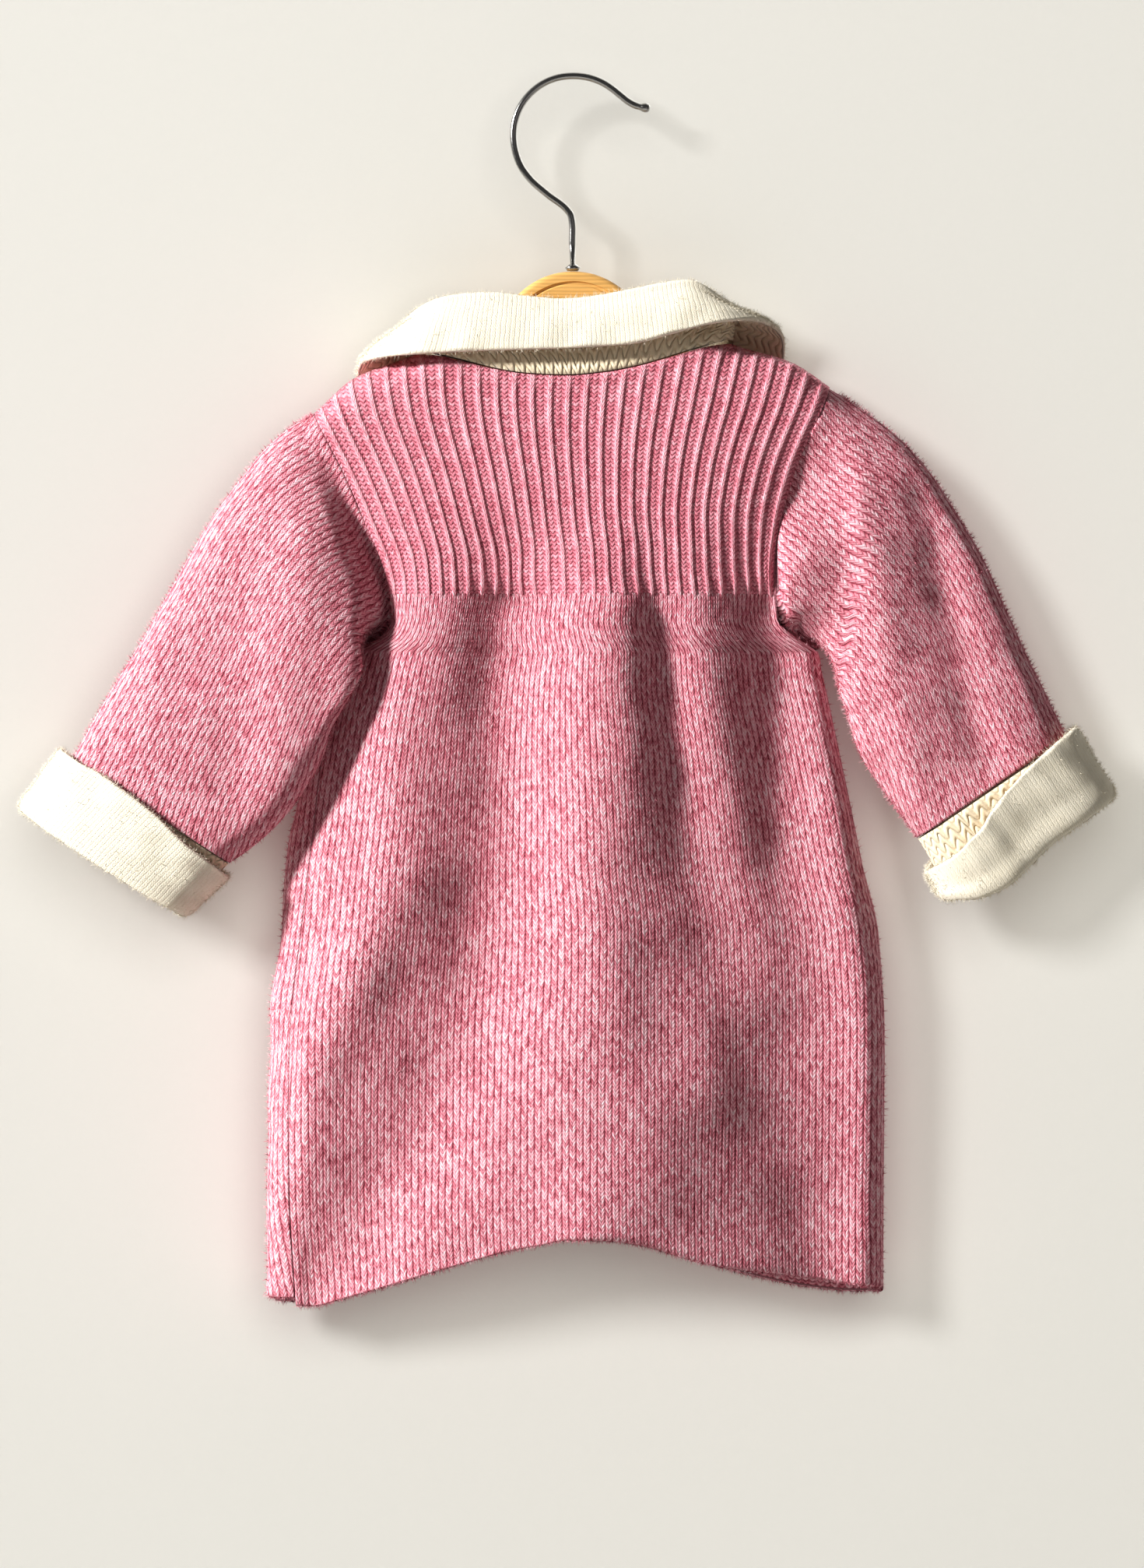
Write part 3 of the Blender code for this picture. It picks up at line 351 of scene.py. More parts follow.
# Sleeves by section: along is how far down the sleeve, the chord runs from its inner to its outer
# edge, the bulges are depths in front of and behind the chord, lean moves the low back of it in.
SLEEVE_NAMES = "along xi yi zi xo yo zo low mid high front lean"
SLEEVE_LEFT = table(
    SLEEVE_NAMES,
    [
        (0.00, -98.0, 0.0, -252.0, -112.5, 0.0, -147.6, 12.0, 12.0, 9.0, 8.0, 0.0),
        (0.10, -107.5, -9.0, -259.0, -123.4, -3.0, -153.0, 17.0, 17.0, 11.0, 11.0, 23.5),
        (0.20, -108.5, -16.0, -271.0, -134.0, -5.0, -162.5, 15.0, 17.0, 12.0, 12.0, 20.0),
        (0.32, -106.0, -21.0, -282.0, -145.9, -6.0, -177.1, 13.0, 16.0, 12.0, 12.0, 12.0),
        (0.45, -107.0, -22.5, -293.0, -158.8, -7.0, -195.5, 11.0, 14.0, 12.0, 12.0, 4.0),
        (0.58, -112.0, -21.5, -304.3, -172.4, -8.0, -218.6, 10.0, 13.0, 11.0, 12.0, 0.0),
        (0.72, -122.0, -20.0, -320.0, -188.7, -9.0, -247.9, 10.0, 12.0, 11.0, 12.0, 0.0),
        (0.86, -136.3, -18.0, -334.6, -204.7, -10.0, -273.7, 10.0, 12.0, 10.0, 11.0, 0.0),
        (1.00, -149.0, -16.0, -343.5, -218.3, -11.0, -298.5, 10.0, 12.0, 10.0, 11.0, 0.0),
    ],
)
SLEEVE_RIGHT = table(
    SLEEVE_NAMES,
    [
        (0.00, 107.0, 0.0, -252.0, 112.5, 0.0, -136.3, 12.0, 12.0, 9.0, 8.0, 0.0),
        (0.12, 114.0, -3.0, -259.5, 130.9, -2.0, -147.9, 12.0, 15.0, 12.0, 9.0, 0.0),
        (0.25, 118.5, -5.0, -271.3, 149.9, -3.0, -164.2, 12.0, 15.0, 12.0, 10.0, 0.0),
        (0.38, 122.0, -6.0, -283.2, 164.6, -4.0, -184.6, 12.0, 14.0, 12.0, 10.0, 0.0),
        (0.52, 126.0, -6.5, -295.8, 177.1, -5.0, -205.0, 11.0, 13.0, 11.0, 10.0, 0.0),
        (0.68, 133.8, -7.0, -308.7, 189.0, -6.0, -230.5, 11.0, 13.0, 11.0, 10.0, 0.0),
        (0.84, 142.4, -7.0, -321.0, 202.3, -6.5, -259.4, 11.0, 13.0, 11.0, 10.0, 0.0),
        (1.00, 151.0, -7.0, -332.9, 216.6, -7.0, -288.3, 12.0, 14.0, 11.0, 10.0, 0.0),
    ],
)
# Creases on the sleeves' seen sides, by the line's two ends.
CREASE_NAMES = "x0 z0 x1 z1 wide high"
CREASES_LEFT = table(
    CREASE_NAMES,
    [
        (-146.0, -225.0, -146.0, -312.0, 9.0, -2.2),
        (-176.0, -235.0, -186.0, -290.0, 9.0, 1.6),
        (-118.0, -200.0, -124.0, -285.0, 9.0, 1.8),
    ],
)
CREASES_RIGHT = table(
    CREASE_NAMES,
    [
        (154.0, -190.0, 180.0, -300.0, 8.0, -4.2),
        (126.0, -185.0, 150.0, -312.0, 9.0, 2.6),
        (178.0, -205.0, 203.0, -285.0, 6.0, 1.6),
    ],
)
# Turned-back cuffs by station: turn is the way round, from the inner edge over the back, fold and
# fold_out place the fold, edge and edge_out the free edge.
CUFF_NAMES = "turn fold fold_out edge edge_out"
CUFF_LEFT = table(
    CUFF_NAMES,
    [
        (0.00, 30.0, 0.0, 5.5, 5.0),
        (0.10, 31.0, 0.0, 4.5, 5.2),
        (0.25, 31.5, 0.0, 0.5, 5.0),
        (0.40, 31.5, 0.0, -0.8, 5.4),
        (0.50, 31.0, 0.0, 1.6, 7.4),
        (0.62, 31.0, 0.0, 1.5, 5.6),
        (0.80, 30.5, 0.0, 2.5, 5.0),
        (1.00, 30.0, 0.0, 5.5, 5.0),
    ],
)
CUFF_RIGHT = table(
    CUFF_NAMES,
    [
        (0.00, 28.0, 3.0, 15.0, 6.0),
        (0.06, 36.0, 3.0, 15.8, 8.0),
        (0.13, 38.0, 2.5, 13.3, 9.0),
        (0.20, 36.5, 1.5, 8.7, 8.5),
        (0.27, 34.0, 1.0, 5.6, 7.0),
        (0.36, 33.6, 0.5, 2.3, 5.6),
        (0.43, 33.6, 0.5, 0.7, 5.2),
        (0.50, 33.0, 1.0, -0.4, 6.0),
        (0.62, 32.0, 0.0, 1.0, 5.2),
        (0.78, 29.0, 0.0, 3.0, 5.0),
        (0.92, 24.0, 1.5, 9.0, 5.2),
        (1.00, 28.0, 3.0, 15.0, 6.0),
    ],
)
ALONG_LEFT = (-0.694, 0.0, -0.720)
ALONG_RIGHT = (0.552, 0.0, -0.834)
# The collar by station, from the front's left end round the back to its right end: the top of the
# fold and the free edge.
COLLAR = table(
    "turn fx fy fz ex ey ez",
    [
        (0.000, -3.0, 16.0, -146.0, -13.0, 24.0, -184.0),
        (0.090, -30.0, 16.0, -140.0, -48.0, 24.5, -176.0),
        (0.180, -54.0, 14.0, -127.0, -80.0, 21.5, -154.0),
        (0.245, -69.0, 9.0, -114.5, -94.5, 15.5, -134.0),
        (0.300, -74.5, 2.0, -110.5, -93.0, 4.0, -124.5),
        (0.345, -70.5, -8.0, -105.5, -87.0, -12.0, -123.0),
        (0.390, -59.0, -12.5, -98.5, -67.0, -21.0, -121.5),
        (0.440, -38.0, -13.5, -95.8, -41.0, -22.5, -120.2),
        (0.500, -4.0, -13.5, -98.6, -4.0, -22.5, -119.0),
        (0.560, 28.0, -13.5, -94.0, 30.0, -22.5, -116.5),
        (0.610, 50.0, -12.5, -90.2, 54.0, -21.5, -109.5),
        (0.655, 66.0, -8.0, -98.0, 76.0, -15.0, -106.5),
        (0.700, 73.0, 2.0, -102.5, 88.0, 0.0, -107.5),
        (0.755, 71.0, 9.0, -106.5, 94.5, 13.0, -121.0),
        (0.820, 55.0, 14.0, -122.0, 82.0, 21.0, -149.0),
        (0.910, 31.0, 16.0, -138.5, 50.0, 24.5, -175.0),
        (1.000, 3.0, 16.0, -146.0, 13.0, 24.0, -184.0),
    ],
)
HOOK = table(
    "x z radius",
    [
        (0.3, -84.15, 2.4),
        (0.3, -81.6, 2.4),
        (0.3, -81.3, 1.5),
        (0.1, -72.0, 1.5),
        (-0.2, -61.5, 1.5),
        (-0.7, -59.4, 1.5),
        (-2.0, -57.6, 1.5),
        (-11.0, -50.4, 1.5),
        (-18.6, -43.6, 1.5),
        (-22.6, -38.0, 1.5),
        (-25.0, -31.4, 1.5),
        (-25.8, -24.6, 1.5),
        (-25.0, -17.8, 1.5),
        (-22.4, -11.4, 1.5),
        (-18.4, -6.2, 1.5),
        (-13.0, -2.0, 1.5),
        (-6.8, 0.6, 1.5),
        (0.0, 1.5, 1.5),
        (6.6, 0.9, 1.5),
        (12.8, -1.2, 1.5),
        (17.4, -4.0, 1.5),
        (21.4, -7.2, 1.5),
        (25.0, -10.0, 1.5),
        (28.4, -11.7, 1.5),
        (30.3, -12.2, 1.5),
        (30.9, -12.3, 1.8),
        (32.2, -12.5, 2.1),
        (33.5, -12.7, 1.8),
        (34.1, -12.8, 0.9),
    ],
)
# The hanger's arms below the head, top and bottom edges.
ARMS = table(
    "x top bottom",
    [
        (-97.0, -145.5, -151.5),
        (-94.0, -140.8, -154.6),
        (-88.0, -137.6, -155.0),
        (-70.0, -129.8, -150.0),
        (-50.0, -121.6, -145.0),
        (-31.0, -112.6, -143.0),
        (0.0, -105.0, -142.6),
        (31.0, -110.8, -142.0),
        (50.0, -118.8, -143.2),
        (70.0, -126.4, -146.8),
        (88.0, -132.4, -149.8),
        (94.0, -135.4, -149.2),
        (97.0, -140.0, -146.0),
    ],
)
SLEEVES = (
    ("sleeve_left_cloth", "sleeve_left", SLEEVE_LEFT, CREASES_LEFT, 0, -1, ALONG_LEFT),
    ("sleeve_right_cloth", "sleeve_right", SLEEVE_RIGHT, CREASES_RIGHT, -1, 1, ALONG_RIGHT),
)
CUFFS = (("cuff_left_cloth", "cuff_left", CUFF_LEFT), ("cuff_right_cloth", "cuff_right", CUFF_RIGHT))


def hermite(t):
    """Weights of a cubic's first point, first slope, last point and last slope."""
    return (1 + 2 * t) * (1 - t) ** 2, t * (1 - t) ** 2, t * t * (3 - 2 * t), t * t * (t - 1)


def curve(x, xs, ys):
    """A smooth line through the points that never overshoots them."""
    xs, ys = np.asarray(xs, float), np.asarray(ys, float)
    rise = np.diff(ys) / np.diff(xs)
    both = rise[:-1] * rise[1:]
    total = rise[:-1] + rise[1:]
    middle = np.where(both > 0, 2 * both / np.where(total == 0, 1, total), 0.0)
    slope = np.concatenate([rise[:1], middle, rise[-1:]])
    i = np.clip(np.searchsorted(xs, x) - 1, 0, len(xs) - 2)
    step = xs[i + 1] - xs[i]
    h = hermite(np.clip((x - xs[i]) / step, 0, 1))
    return h[0] * ys[i] + h[1] * step * slope[i] + h[2] * ys[i + 1] + h[3] * step * slope[i + 1]


def look(rows, key, name, x):
    return curve(x, rows[key], rows[name])


def ease(t):
    t = np.clip(t, 0, 1)
    return t * t * (3 - 2 * t)


def unit(v):
    return v / np.maximum(np.linalg.norm(v, axis=-1, keepdims=True), 1e-9)


def across(z, s):
    """x at height z, s running from -1 at the left edge to 1 at the right one. The wales keep to
    smooth lines of their own, and those near an edge close up or spread to meet it."""
    inset = CLOTH / 2 * ease((ARMPIT - z) / SEAM_INSET)
    left, right, low, high = (look(EDGES, "z", n, z) for n in ("left", "right", "wales_left", "wales_right"))
    even = (low + high) / 2 + s * (high - low) / 2
    shift = (left + inset - low) * np.clip(-s, 0, 1) ** 4 + (right - inset - high) * np.clip(s, 0, 1) ** 4
    return even + shift


def folds(rows, x, z):
    """Sum of the folds' heights: each is a bell across its line that grows down the skirt."""
    total = np.zeros_like(x)
    down = ease((FOLD_GROW_TOP - z) / FOLD_GROW)
    fade = ease((FOLD_TOP - z) / FOLD_FADE)
    for k in range(len(rows["x_hem"])):
        line = [rows[n][k] for n in ("x_hem", "x_low", "x_mid", "x_top")]
        centre = curve(z, FOLD_Z, line)
        wide = rows["wide_top"][k] + (rows["wide_hem"][k] - rows["wide_top"][k]) * down
        high = rows["high_top"][k] + (rows["high_hem"][k] - rows["high_top"][k]) * down
        total += high * fade * np.exp(-(((x - centre) / wide) ** 2))
    return total


def body(side, z, s):
    """A point of the body's middle surface. side is -1 for the back and 1 for the front. Below the
    armpit s may run past -1, round the left edge and on to the other side."""
    z, s = np.broadcast_arrays(np.asarray(z, float), np.asarray(s, float))
    past = (s < -1) & (z <= ARMPIT)
    face = np.where(past, -side, side)
    s = np.clip(np.where(past, -2 - s, s), -1, 1)
    x = across(z, s)
    near = np.abs(s)
    top = np.where(s < 0, LEFT_TOP, RIGHT_TOP)
    up = (z - ARMPIT) / (top - ARMPIT)
    opening = np.where(face < 0, ARMHOLE_BACK, ARMHOLE_FRONT)
    opening = opening * np.sqrt(1 - (1 - np.clip(up / ARMHOLE_OPENS, 0, 1)) ** 2)
    flat = BEND - BEND_LESS * ease((z - ARMPIT) / FLATTEN)
    shape = np.maximum(1 - near**3, 0) ** (1 / flat)
    depth = np.where(face < 0, look(DEPTHS, "z", "back", z), look(DEPTHS, "z", "front", z))
    roll = np.clip((z - look(RIDGE, "x", "z", x) + ROUND) / ROUND, 0, 1)
    y = opening + (depth - opening) * shape
    relief = np.where(face < 0, folds(FOLDS_BACK, x, z), folds(FOLDS_FRONT, x, z))
    y = y + relief * np.maximum(1 - near**5, 0) ** 0.5
    return np.stack([x, face * y * np.sqrt(1 - roll**2), z], -1)


def body_normal(side, z, s):
    """Unit normal out of the cloth, from small steps across and down the surface."""
    step = 0.004
    high = np.where(s >= 1 - 1e-9, s, s + step)
    low = np.where((s <= -1 + 1e-9) & (z > ARMPIT), s, s - step)
    along = body(side, z, high) - body(side, z, low)
    up = body(side, z, s) - body(side, z - SLOPE_STEP, s)
    return unit(np.cross(along, up)) * -side


def seam_share(z):
    return look(SEAM_TURN, "z", "share", z)


def top_edge(side, s):
    """Height of the shoulder or neck edge over the column s."""
    neck = NECK_BACK if side < 0 else NECK_FRONT
    z = np.full_like(s, SHOULDER_GUESS)
    for _ in range(TOP_ROUNDS):
        x = across(z, s)
        inside = np.abs(x) <= NECK_X
        z = np.where(inside, look(neck, "x", "z", x), look(RIDGE, "x", "z", x))
    return z


def hem_edge(side, s):
    hem = HEM_BACK if side < 0 else HEM_FRONT
    z = np.full_like(s, HEM)
    for _ in range(HEM_ROUNDS):
        z = look(hem, "x", "z", across(z, np.clip(s, -1, 1)))
    return z


def seam_at(side, z):
    return -1 - side * seam_share(z)


def grid_normal(mid, wrap):
    """Unit normals of a grid from its neighbours; wrap joins the last column to the first."""
    down = np.gradient(mid, axis=0)
    if wrap:
        side = np.roll(mid, -1, 1) - np.roll(mid, 1, 1)
    else:
        side = np.gradient(mid, axis=1)
    return unit(np.cross(side, down))


def ring(rows, along, share, back):
    """A sleeve section: chord points at share (0 inner, 1 outer) with the bulge of their side."""
    col = {n: look(rows, "along", n, along) for n in rows if n != "along"}
    inner = np.stack([col["xi"], col["yi"], col["zi"]], -1)
    outer = np.stack([col["xo"], col["yo"], col["zo"]], -1)
    way = unit(outer - inner)
    trim = (CLOTH / 2 * ease(along / 0.1))[..., None]
    inner, outer = inner + way * trim, outer - way * trim
    chord = inner + (outer - inner) * share[..., None]
    shape = np.maximum(1 - np.abs(2 * share - 1) ** 3, 0) ** 0.5
    bulge = col["low"] * np.clip(1 - share / 0.5, 0, 1) + col["high"] * np.clip(share / 0.5 - 1, 0, 1)
    bulge = bulge + col["mid"] * (1 - np.abs(share / 0.5 - 1))
    lean = np.where(share < LEAN_AT, 1 - (1 - share / LEAN_AT) ** 2, ((1 - share) / (1 - LEAN_AT)) ** 1.2)
    point = chord.copy()
    point[..., 1] += np.where(back, -bulge, col["front"]) * shape
    point[..., 0] += np.where(back, lean * col["lean"], 0.0)
    return point


def creases(rows, x, z):
    total = np.zeros_like(x)
    for k in range(len(rows["x0"])):
        a = np.array([rows["x0"][k], rows["z0"][k]])
        b = np.array([rows["x1"][k], rows["z1"][k]])
        t = ((x - a[0]) * (b - a)[0] + (z - a[1]) * (b - a)[1]) / np.sum((b - a) ** 2)
        off = np.hypot(x - a[0] - t * (b - a)[0], z - a[1] - t * (b - a)[1])
        ends = ease((t + 0.25) / 0.4) * ease((1.3 - t) / 0.4)
        total += rows["high"][k] * ends * np.exp(-((off / rows["wide"][k]) ** 2))
    return total


def neckline(count):
    """Middle points of the neck's edge, round from the front's middle over the left, the back and
    the right."""
    x = np.array([-NECK_X, NECK_X])
    z = look(RIDGE, "x", "z", x)
    low, high = across(z, -1.0), across(z, 1.0)
    left, right = (2 * x - low - high) / (high - low)
    points = []
    for side, order in ((1, -1), (-1, 1), (1, -2)):
        if side < 0:
            s = np.linspace(left, right, count)
        elif order == -1:
            s = np.linspace(-0.006, left, count // 2 + 1)[:-1]
        else:
            s = np.linspace(right, 0.006, count // 2 + 1)[1:]
        points.append(body(side, top_edge(side, s), s))
    return np.concatenate(points)


def distances(rows):
    """Distance of each point of a line, or of each row of a grid in the mean, from the first."""
    step = np.linalg.norm(np.diff(rows[..., :3], axis=0), axis=-1).reshape(len(rows) - 1, -1).mean(1)
    return np.concatenate([[0], np.cumsum(np.maximum(step, 1e-6))])


def resample(grid, count, wrap=False):
    """Rows of a grid put on smooth lines through them, a cubic between two rows with slopes taken
    from the rows on either side, and read again at even distances."""
    rows = np.concatenate([grid[-3:], grid, grid[:4]]) if wrap else grid
    t = distances(rows)
    slope = np.gradient(rows, t, axis=0)
    if wrap:
        at = np.linspace(t[3], t[3 + len(grid)], count, endpoint=False)
    else:
        at = np.linspace(t[0], t[-1], count)
    i = np.clip(np.searchsorted(t, at, side="right") - 1, 0, len(t) - 2)
    shape = (-1,) + (1,) * (grid.ndim - 1)
    width = (t[i + 1] - t[i]).reshape(shape)
    h = hermite(((at - t[i]) / (t[i + 1] - t[i])).reshape(shape))
    return h[0] * rows[i] + h[1] * width * slope[i] + h[2] * rows[i + 1] + h[3] * width * slope[i + 1]


def resample_across(grid, count, wrap=False):
    return np.swapaxes(resample(np.swapaxes(grid, 0, 1), count, wrap), 0, 1)


def waves(x, z, seed, size):
    """Uneven soft ripple from four crossed sine waves, between about -1 and 1."""
    draw = np.random.default_rng(seed)
    total = np.zeros_like(x)
    for _ in range(4):
        angle, phase = draw.uniform(0, math.pi), draw.uniform(0, 2 * math.pi)
        length = size * draw.uniform(0.7, 1.6)
        total += np.sin((x * math.cos(angle) + z * math.sin(angle)) * 2 * math.pi / length + phase)
    return total / 2.6


def panel_grid(side, columns, z_yoke, z_hip, skirt_rows):
    """Middle surface, normals and knitted rows, hem to top, on the given columns (0 to 1 across)."""
    share = seam_share(HEM_SEAM)
    s_hem = -1 - side * share + (2 + side * share) * columns
    hem, top = hem_edge(side, s_hem), top_edge(side, -1 + 2 * columns)
    rows = [hem + (ARMPIT - hem) * k / skirt_rows for k in range(skirt_rows)]
    rows += [np.full_like(columns, z) for z in z_hip]
    rows += [RIB_FOOT + (top - RIB_FOOT) * u for u in z_yoke]
    z = np.array(rows)
    s = -1 - side * seam_share(z) + (2 + side * seam_share(z)) * columns
    mid, normal = body(side, z, s), body_normal(side, z, s)
    low = np.flatnonzero(z[:, 0] <= ARMPIT + 1e-6)
    for col in (0, -1):
        zc, sc = z[low, col], s[low, col]
        if col == 0:
            run = unit(body(side, zc, sc + 2e-3) - body(side, zc, sc - 2e-3))
            rise = unit(body(side, zc, sc) - body(side, zc - SLOPE_STEP, seam_at(side, zc - SLOPE_STEP)))
            out = unit(np.cross(run, rise)) * -side
        else:
            run = np.tile((0.0, side * 1.0, 0.0), (len(low), 1))
            slope = body(side, zc, sc) - body(side, zc - SLOPE_STEP, sc)
            out = unit(np.stack([slope[:, 2], 0 * zc, -slope[:, 0]], -1))
            mid[low, col, 1] = 0
        normal[low, col] = out
        mid[low, col] += run * GAP / 2
    seam = np.flatnonzero(np.abs(mid[-1, :, 0]) >= NECK_X + 1e-6)
    x = mid[-1, seam, 0]
    slope = look(RIDGE, "x", "z", x + 0.5) - look(RIDGE, "x", "z", x - 0.5)
    normal[-1, seam] = unit(np.stack([-slope, 0 * x, np.ones_like(x)], -1))
    mid[-1, seam, 1] = side * GAP / 2
    return mid, normal, z


def sleeve_grid(rows, crease, col, sign):
    """The sleeve's middle surface as in the solid: rings of 24 points from the armhole, over the roll
    under the arm and down the sections. Returns also where its points are, round the sleeve."""
    joined = []
    halves = {}
    for side in (-1, 1):
        mid, normal, _ = panel_grid(side, np.array([0.0, 1.0]), ARM_STEPS, HIP_ROWS, 1)
        mid, normal = mid[1:, col], normal[1:, col]
        halves[side] = (mid + normal * CLOTH / 2, mid - normal * CLOTH / 2, mid)
    for b, f in zip(halves[-1], halves[1]):
        low, high = (b[:1] + f[:1]) / 2, (b[-1:] + f[-1:]) / 2
        joined.append(np.concatenate([low, b[1:-1], high, f[-2:0:-1]]))
    outer, inner, mid = joined
    round_edge = np.roll(mid, -1, 0) - np.roll(mid, 1, 0)
    away = unit(np.cross(round_edge, outer - inner)) * sign
    away[0] = unit(np.array([sign * 0.25, 0.0, 0.97]))
    count = len(halves[-1][0])
    is_back = np.arange(len(mid)) < count
    length = distances(mid[:count])
    share = length / length[-1]
    share = np.concatenate([share, share[-2:0:-1]])
    under = ease((UNDERARM - share) / UNDERARM_FADE)
    start = away * (GAP + UNDERARM_GAP * under)[:, None]
    leave = away.copy()
    leave[:, 1] *= 1 - under * 0.8
    first_at = rows["along"][1]
    target = ring(rows, np.full_like(share, first_at), share, is_back)
    ahead = ring(rows, np.full_like(share, first_at + 0.04), share, is_back)
    least = LEAST_REACH + ROLL_REACH * (share < ROLL_SHARE)
    reach = np.maximum(np.linalg.norm(target - mid, axis=1), least)[:, None]
    leave = unit(leave) * reach * 1.1
    finish = unit(ahead - target) * reach
    grid = []
    for t in ARM_SHARES:
        h = hermite(t)
        grid.append(h[0] * (mid + start) + h[1] * leave + h[2] * target + h[3] * finish)
    for along in np.linspace(first_at, 1.0, 10):
        grid.append(ring(rows, np.full_like(share, along), share, is_back))
    grid = np.array(grid)
    for _ in range(RELAX):
        beside = np.roll(grid, 1, 1) + np.roll(grid, -1, 1)
        mean = (beside + np.roll(grid, 1, 0) + np.roll(grid, -1, 0)) / 4
        grid[2:7] += 0.5 * under[None, :, None] * (mean - grid)[2:7]
    normal = grid_normal(grid, True) * -sign
    relief = creases(crease, grid[..., 0], grid[..., 2]) * is_back
    relief *= np.clip(-normal[..., 1], 0, 1) * ease((np.arange(len(grid)) - 3) / 4)[:, None]
    grid[..., 1] -= relief
    return grid, np.where(is_back, share / 2, 1 - share / 2), unit(outer - inner)


def cuff_grid(rows, base, out, turn, along):
    """The cuff's middle surface: down from the sleeve's end, over the fold and back up outside."""
    along = np.array(along)
    out = unit(out - (out @ along)[:, None] * along)
    fold, shift, edge, lift = (look(rows, "turn", n, turn) for n in ("fold", "fold_out", "edge", "edge_out"))
    steps = []
    for t in CUFF_SHARES:
        steps.append((CUFF_START + t * (fold - CUFF_BEND - CUFF_START), shift * t * t))
    for k in (1, 2, 3):
        a = math.pi * k / 4
        down = fold - CUFF_BEND + CUFF_BEND * math.sin(a)
        steps.append((down, shift + CUFF_BEND * (1 - math.cos(a))))
    for t in CUFF_SHARES:
        a = fold - CUFF_BEND + t * (edge - fold + CUFF_BEND)
        steps.append((a, shift + 2 * CUFF_BEND + ease(t) * (lift - shift - 2 * CUFF_BEND)))
    return np.array([base + a[:, None] * along + o[:, None] * out for a, o in steps])


def collar_grid():
    """The collar's middle surface: up the stand from the neck, over the fold and down the fall."""
    base = neckline(16)
    length = distances(base)
    turn = length / length[-1]
    fold = np.stack([look(COLLAR, "turn", n, turn) for n in ("fx", "fy", "fz")], -1)
    edge = np.stack([look(COLLAR, "turn", n, turn) for n in ("ex", "ey", "ez")], -1)
    run = unit(np.gradient(base, axis=0))
    rise = unit(UP - run[:, 2:] * run)
    at_shoulder = np.exp(-(((np.abs(base[:, :1]) - NECK_X) / 9) ** 2))
    start = base + rise * (GAP + 0.3) + COLLAR_LIFT * UP * at_shoulder
    rise = unit(rise * (1 - at_shoulder) + UP * at_shoulder)
    along = np.gradient(fold, axis=0)
    out = unit(np.stack([-along[:, 1], along[:, 0], 0 * turn], -1))
    out = out * np.sign(np.sum(out * (edge - fold), axis=1, keepdims=True))
    inner_top, outer_top = fold - out * COLLAR_BEND, fold + out * COLLAR_BEND
    reach = np.linalg.norm(inner_top - start, axis=1, keepdims=True)
    up = UP * reach
    grid = []
    for t in STAND_SHARES:
        h = hermite(t)
        stand = h[0] * start + h[1] * rise * reach * 0.8
        grid.append(stand + h[2] * (inner_top - (0, 0, COLLAR_BEND)) + h[3] * up)
    for k in (0, 1, 2, 3, 4):
        a = math.pi * k / 4
        arc = np.array([0, 0, COLLAR_BEND * math.sin(a) - COLLAR_BEND])
        grid.append(fold - out * COLLAR_BEND * math.cos(a) + arc)
    last = outer_top - (0, 0, COLLAR_BEND)
    for t in FALL_SHARES:
        grid.append(last + (edge - last) * t + out * 1.5 * math.sin(math.pi * t))
    return np.array(grid)


# ---- meshes from arrays


def quads(index, wrap=False):
    """Corner numbers of the faces between neighbouring rows and columns of a grid of numbers."""
    nxt = np.roll(index, -1, 1) if wrap else index[:, 1:]
    cur = index if wrap else index[:, :-1]
    return np.stack([cur[:-1], nxt[:-1], nxt[1:], cur[1:]], -1).reshape(-1, 4)


def quad_uvs(uv):
    """The same for the map. A wrapped grid's map has one more column than the grid."""
    cur, nxt = uv[:, :-1], uv[:, 1:]
    return np.stack([cur[:-1], nxt[:-1], nxt[1:], cur[1:]], 2).reshape(-1, 4, 2)


def numbered(grid, first=0):
    """Numbers of a grid's points, from first on."""
    return first + np.arange(grid.shape[0] * grid.shape[1]).reshape(grid.shape[:2])


def bar_patches(rings, uv):
    """Faces and map of a bar: its rings joined in order, and a flat cap at each end."""
    index = numbered(rings)
    cap_uv = np.zeros((1, index.shape[1], 2))
    return [(quads(index, True), quad_uvs(uv)), (index[:1], cap_uv), (index[-1:], cap_uv)]


def make_piece(name, points, patches, material, turn_out=True):
    """A mesh from whole arrays. patches holds pairs of corner numbers and their places on the map."""
    mesh = bpy.data.meshes.new(name)
    corners = np.concatenate([np.asarray(p).ravel() for p, _ in patches]).astype(np.int32)
    totals = np.concatenate([np.full(len(p), p.shape[1]) for p, _ in patches])
    maps = np.concatenate([np.asarray(m).reshape(-1, 2) for _, m in patches]).astype(np.float32)
    starts = np.concatenate([[0], np.cumsum(totals)[:-1]]).astype(np.int32)
    mesh.vertices.add(len(points))
    mesh.vertices.foreach_set("co", (np.asarray(points) * MM).astype(np.float32).ravel())
    mesh.loops.add(len(corners))
    mesh.loops.foreach_set("vertex_index", corners)
    mesh.polygons.add(len(totals))
    mesh.polygons.foreach_set("loop_start", starts)
    mesh.update(calc_edges=True)
    layer = mesh.uv_layers.new(name="knit")
    layer.data.foreach_set("uv", maps.ravel())
    mesh.polygons.foreach_set("use_smooth", np.ones(len(totals), bool))
    mesh.validate()
    if turn_out:
        bm = bmesh.new()
        bm.from_mesh(mesh)
        bmesh.ops.recalc_face_normals(bm, faces=bm.faces)
        if bm.calc_volume(signed=True) < 0:
            bmesh.ops.reverse_faces(bm, faces=bm.faces)
        bm.to_mesh(mesh)
        bm.free()
    mesh.materials.append(material)
    obj = bpy.data.objects.new(name, mesh)
    bpy.context.scene.collection.objects.link(obj)
    return obj


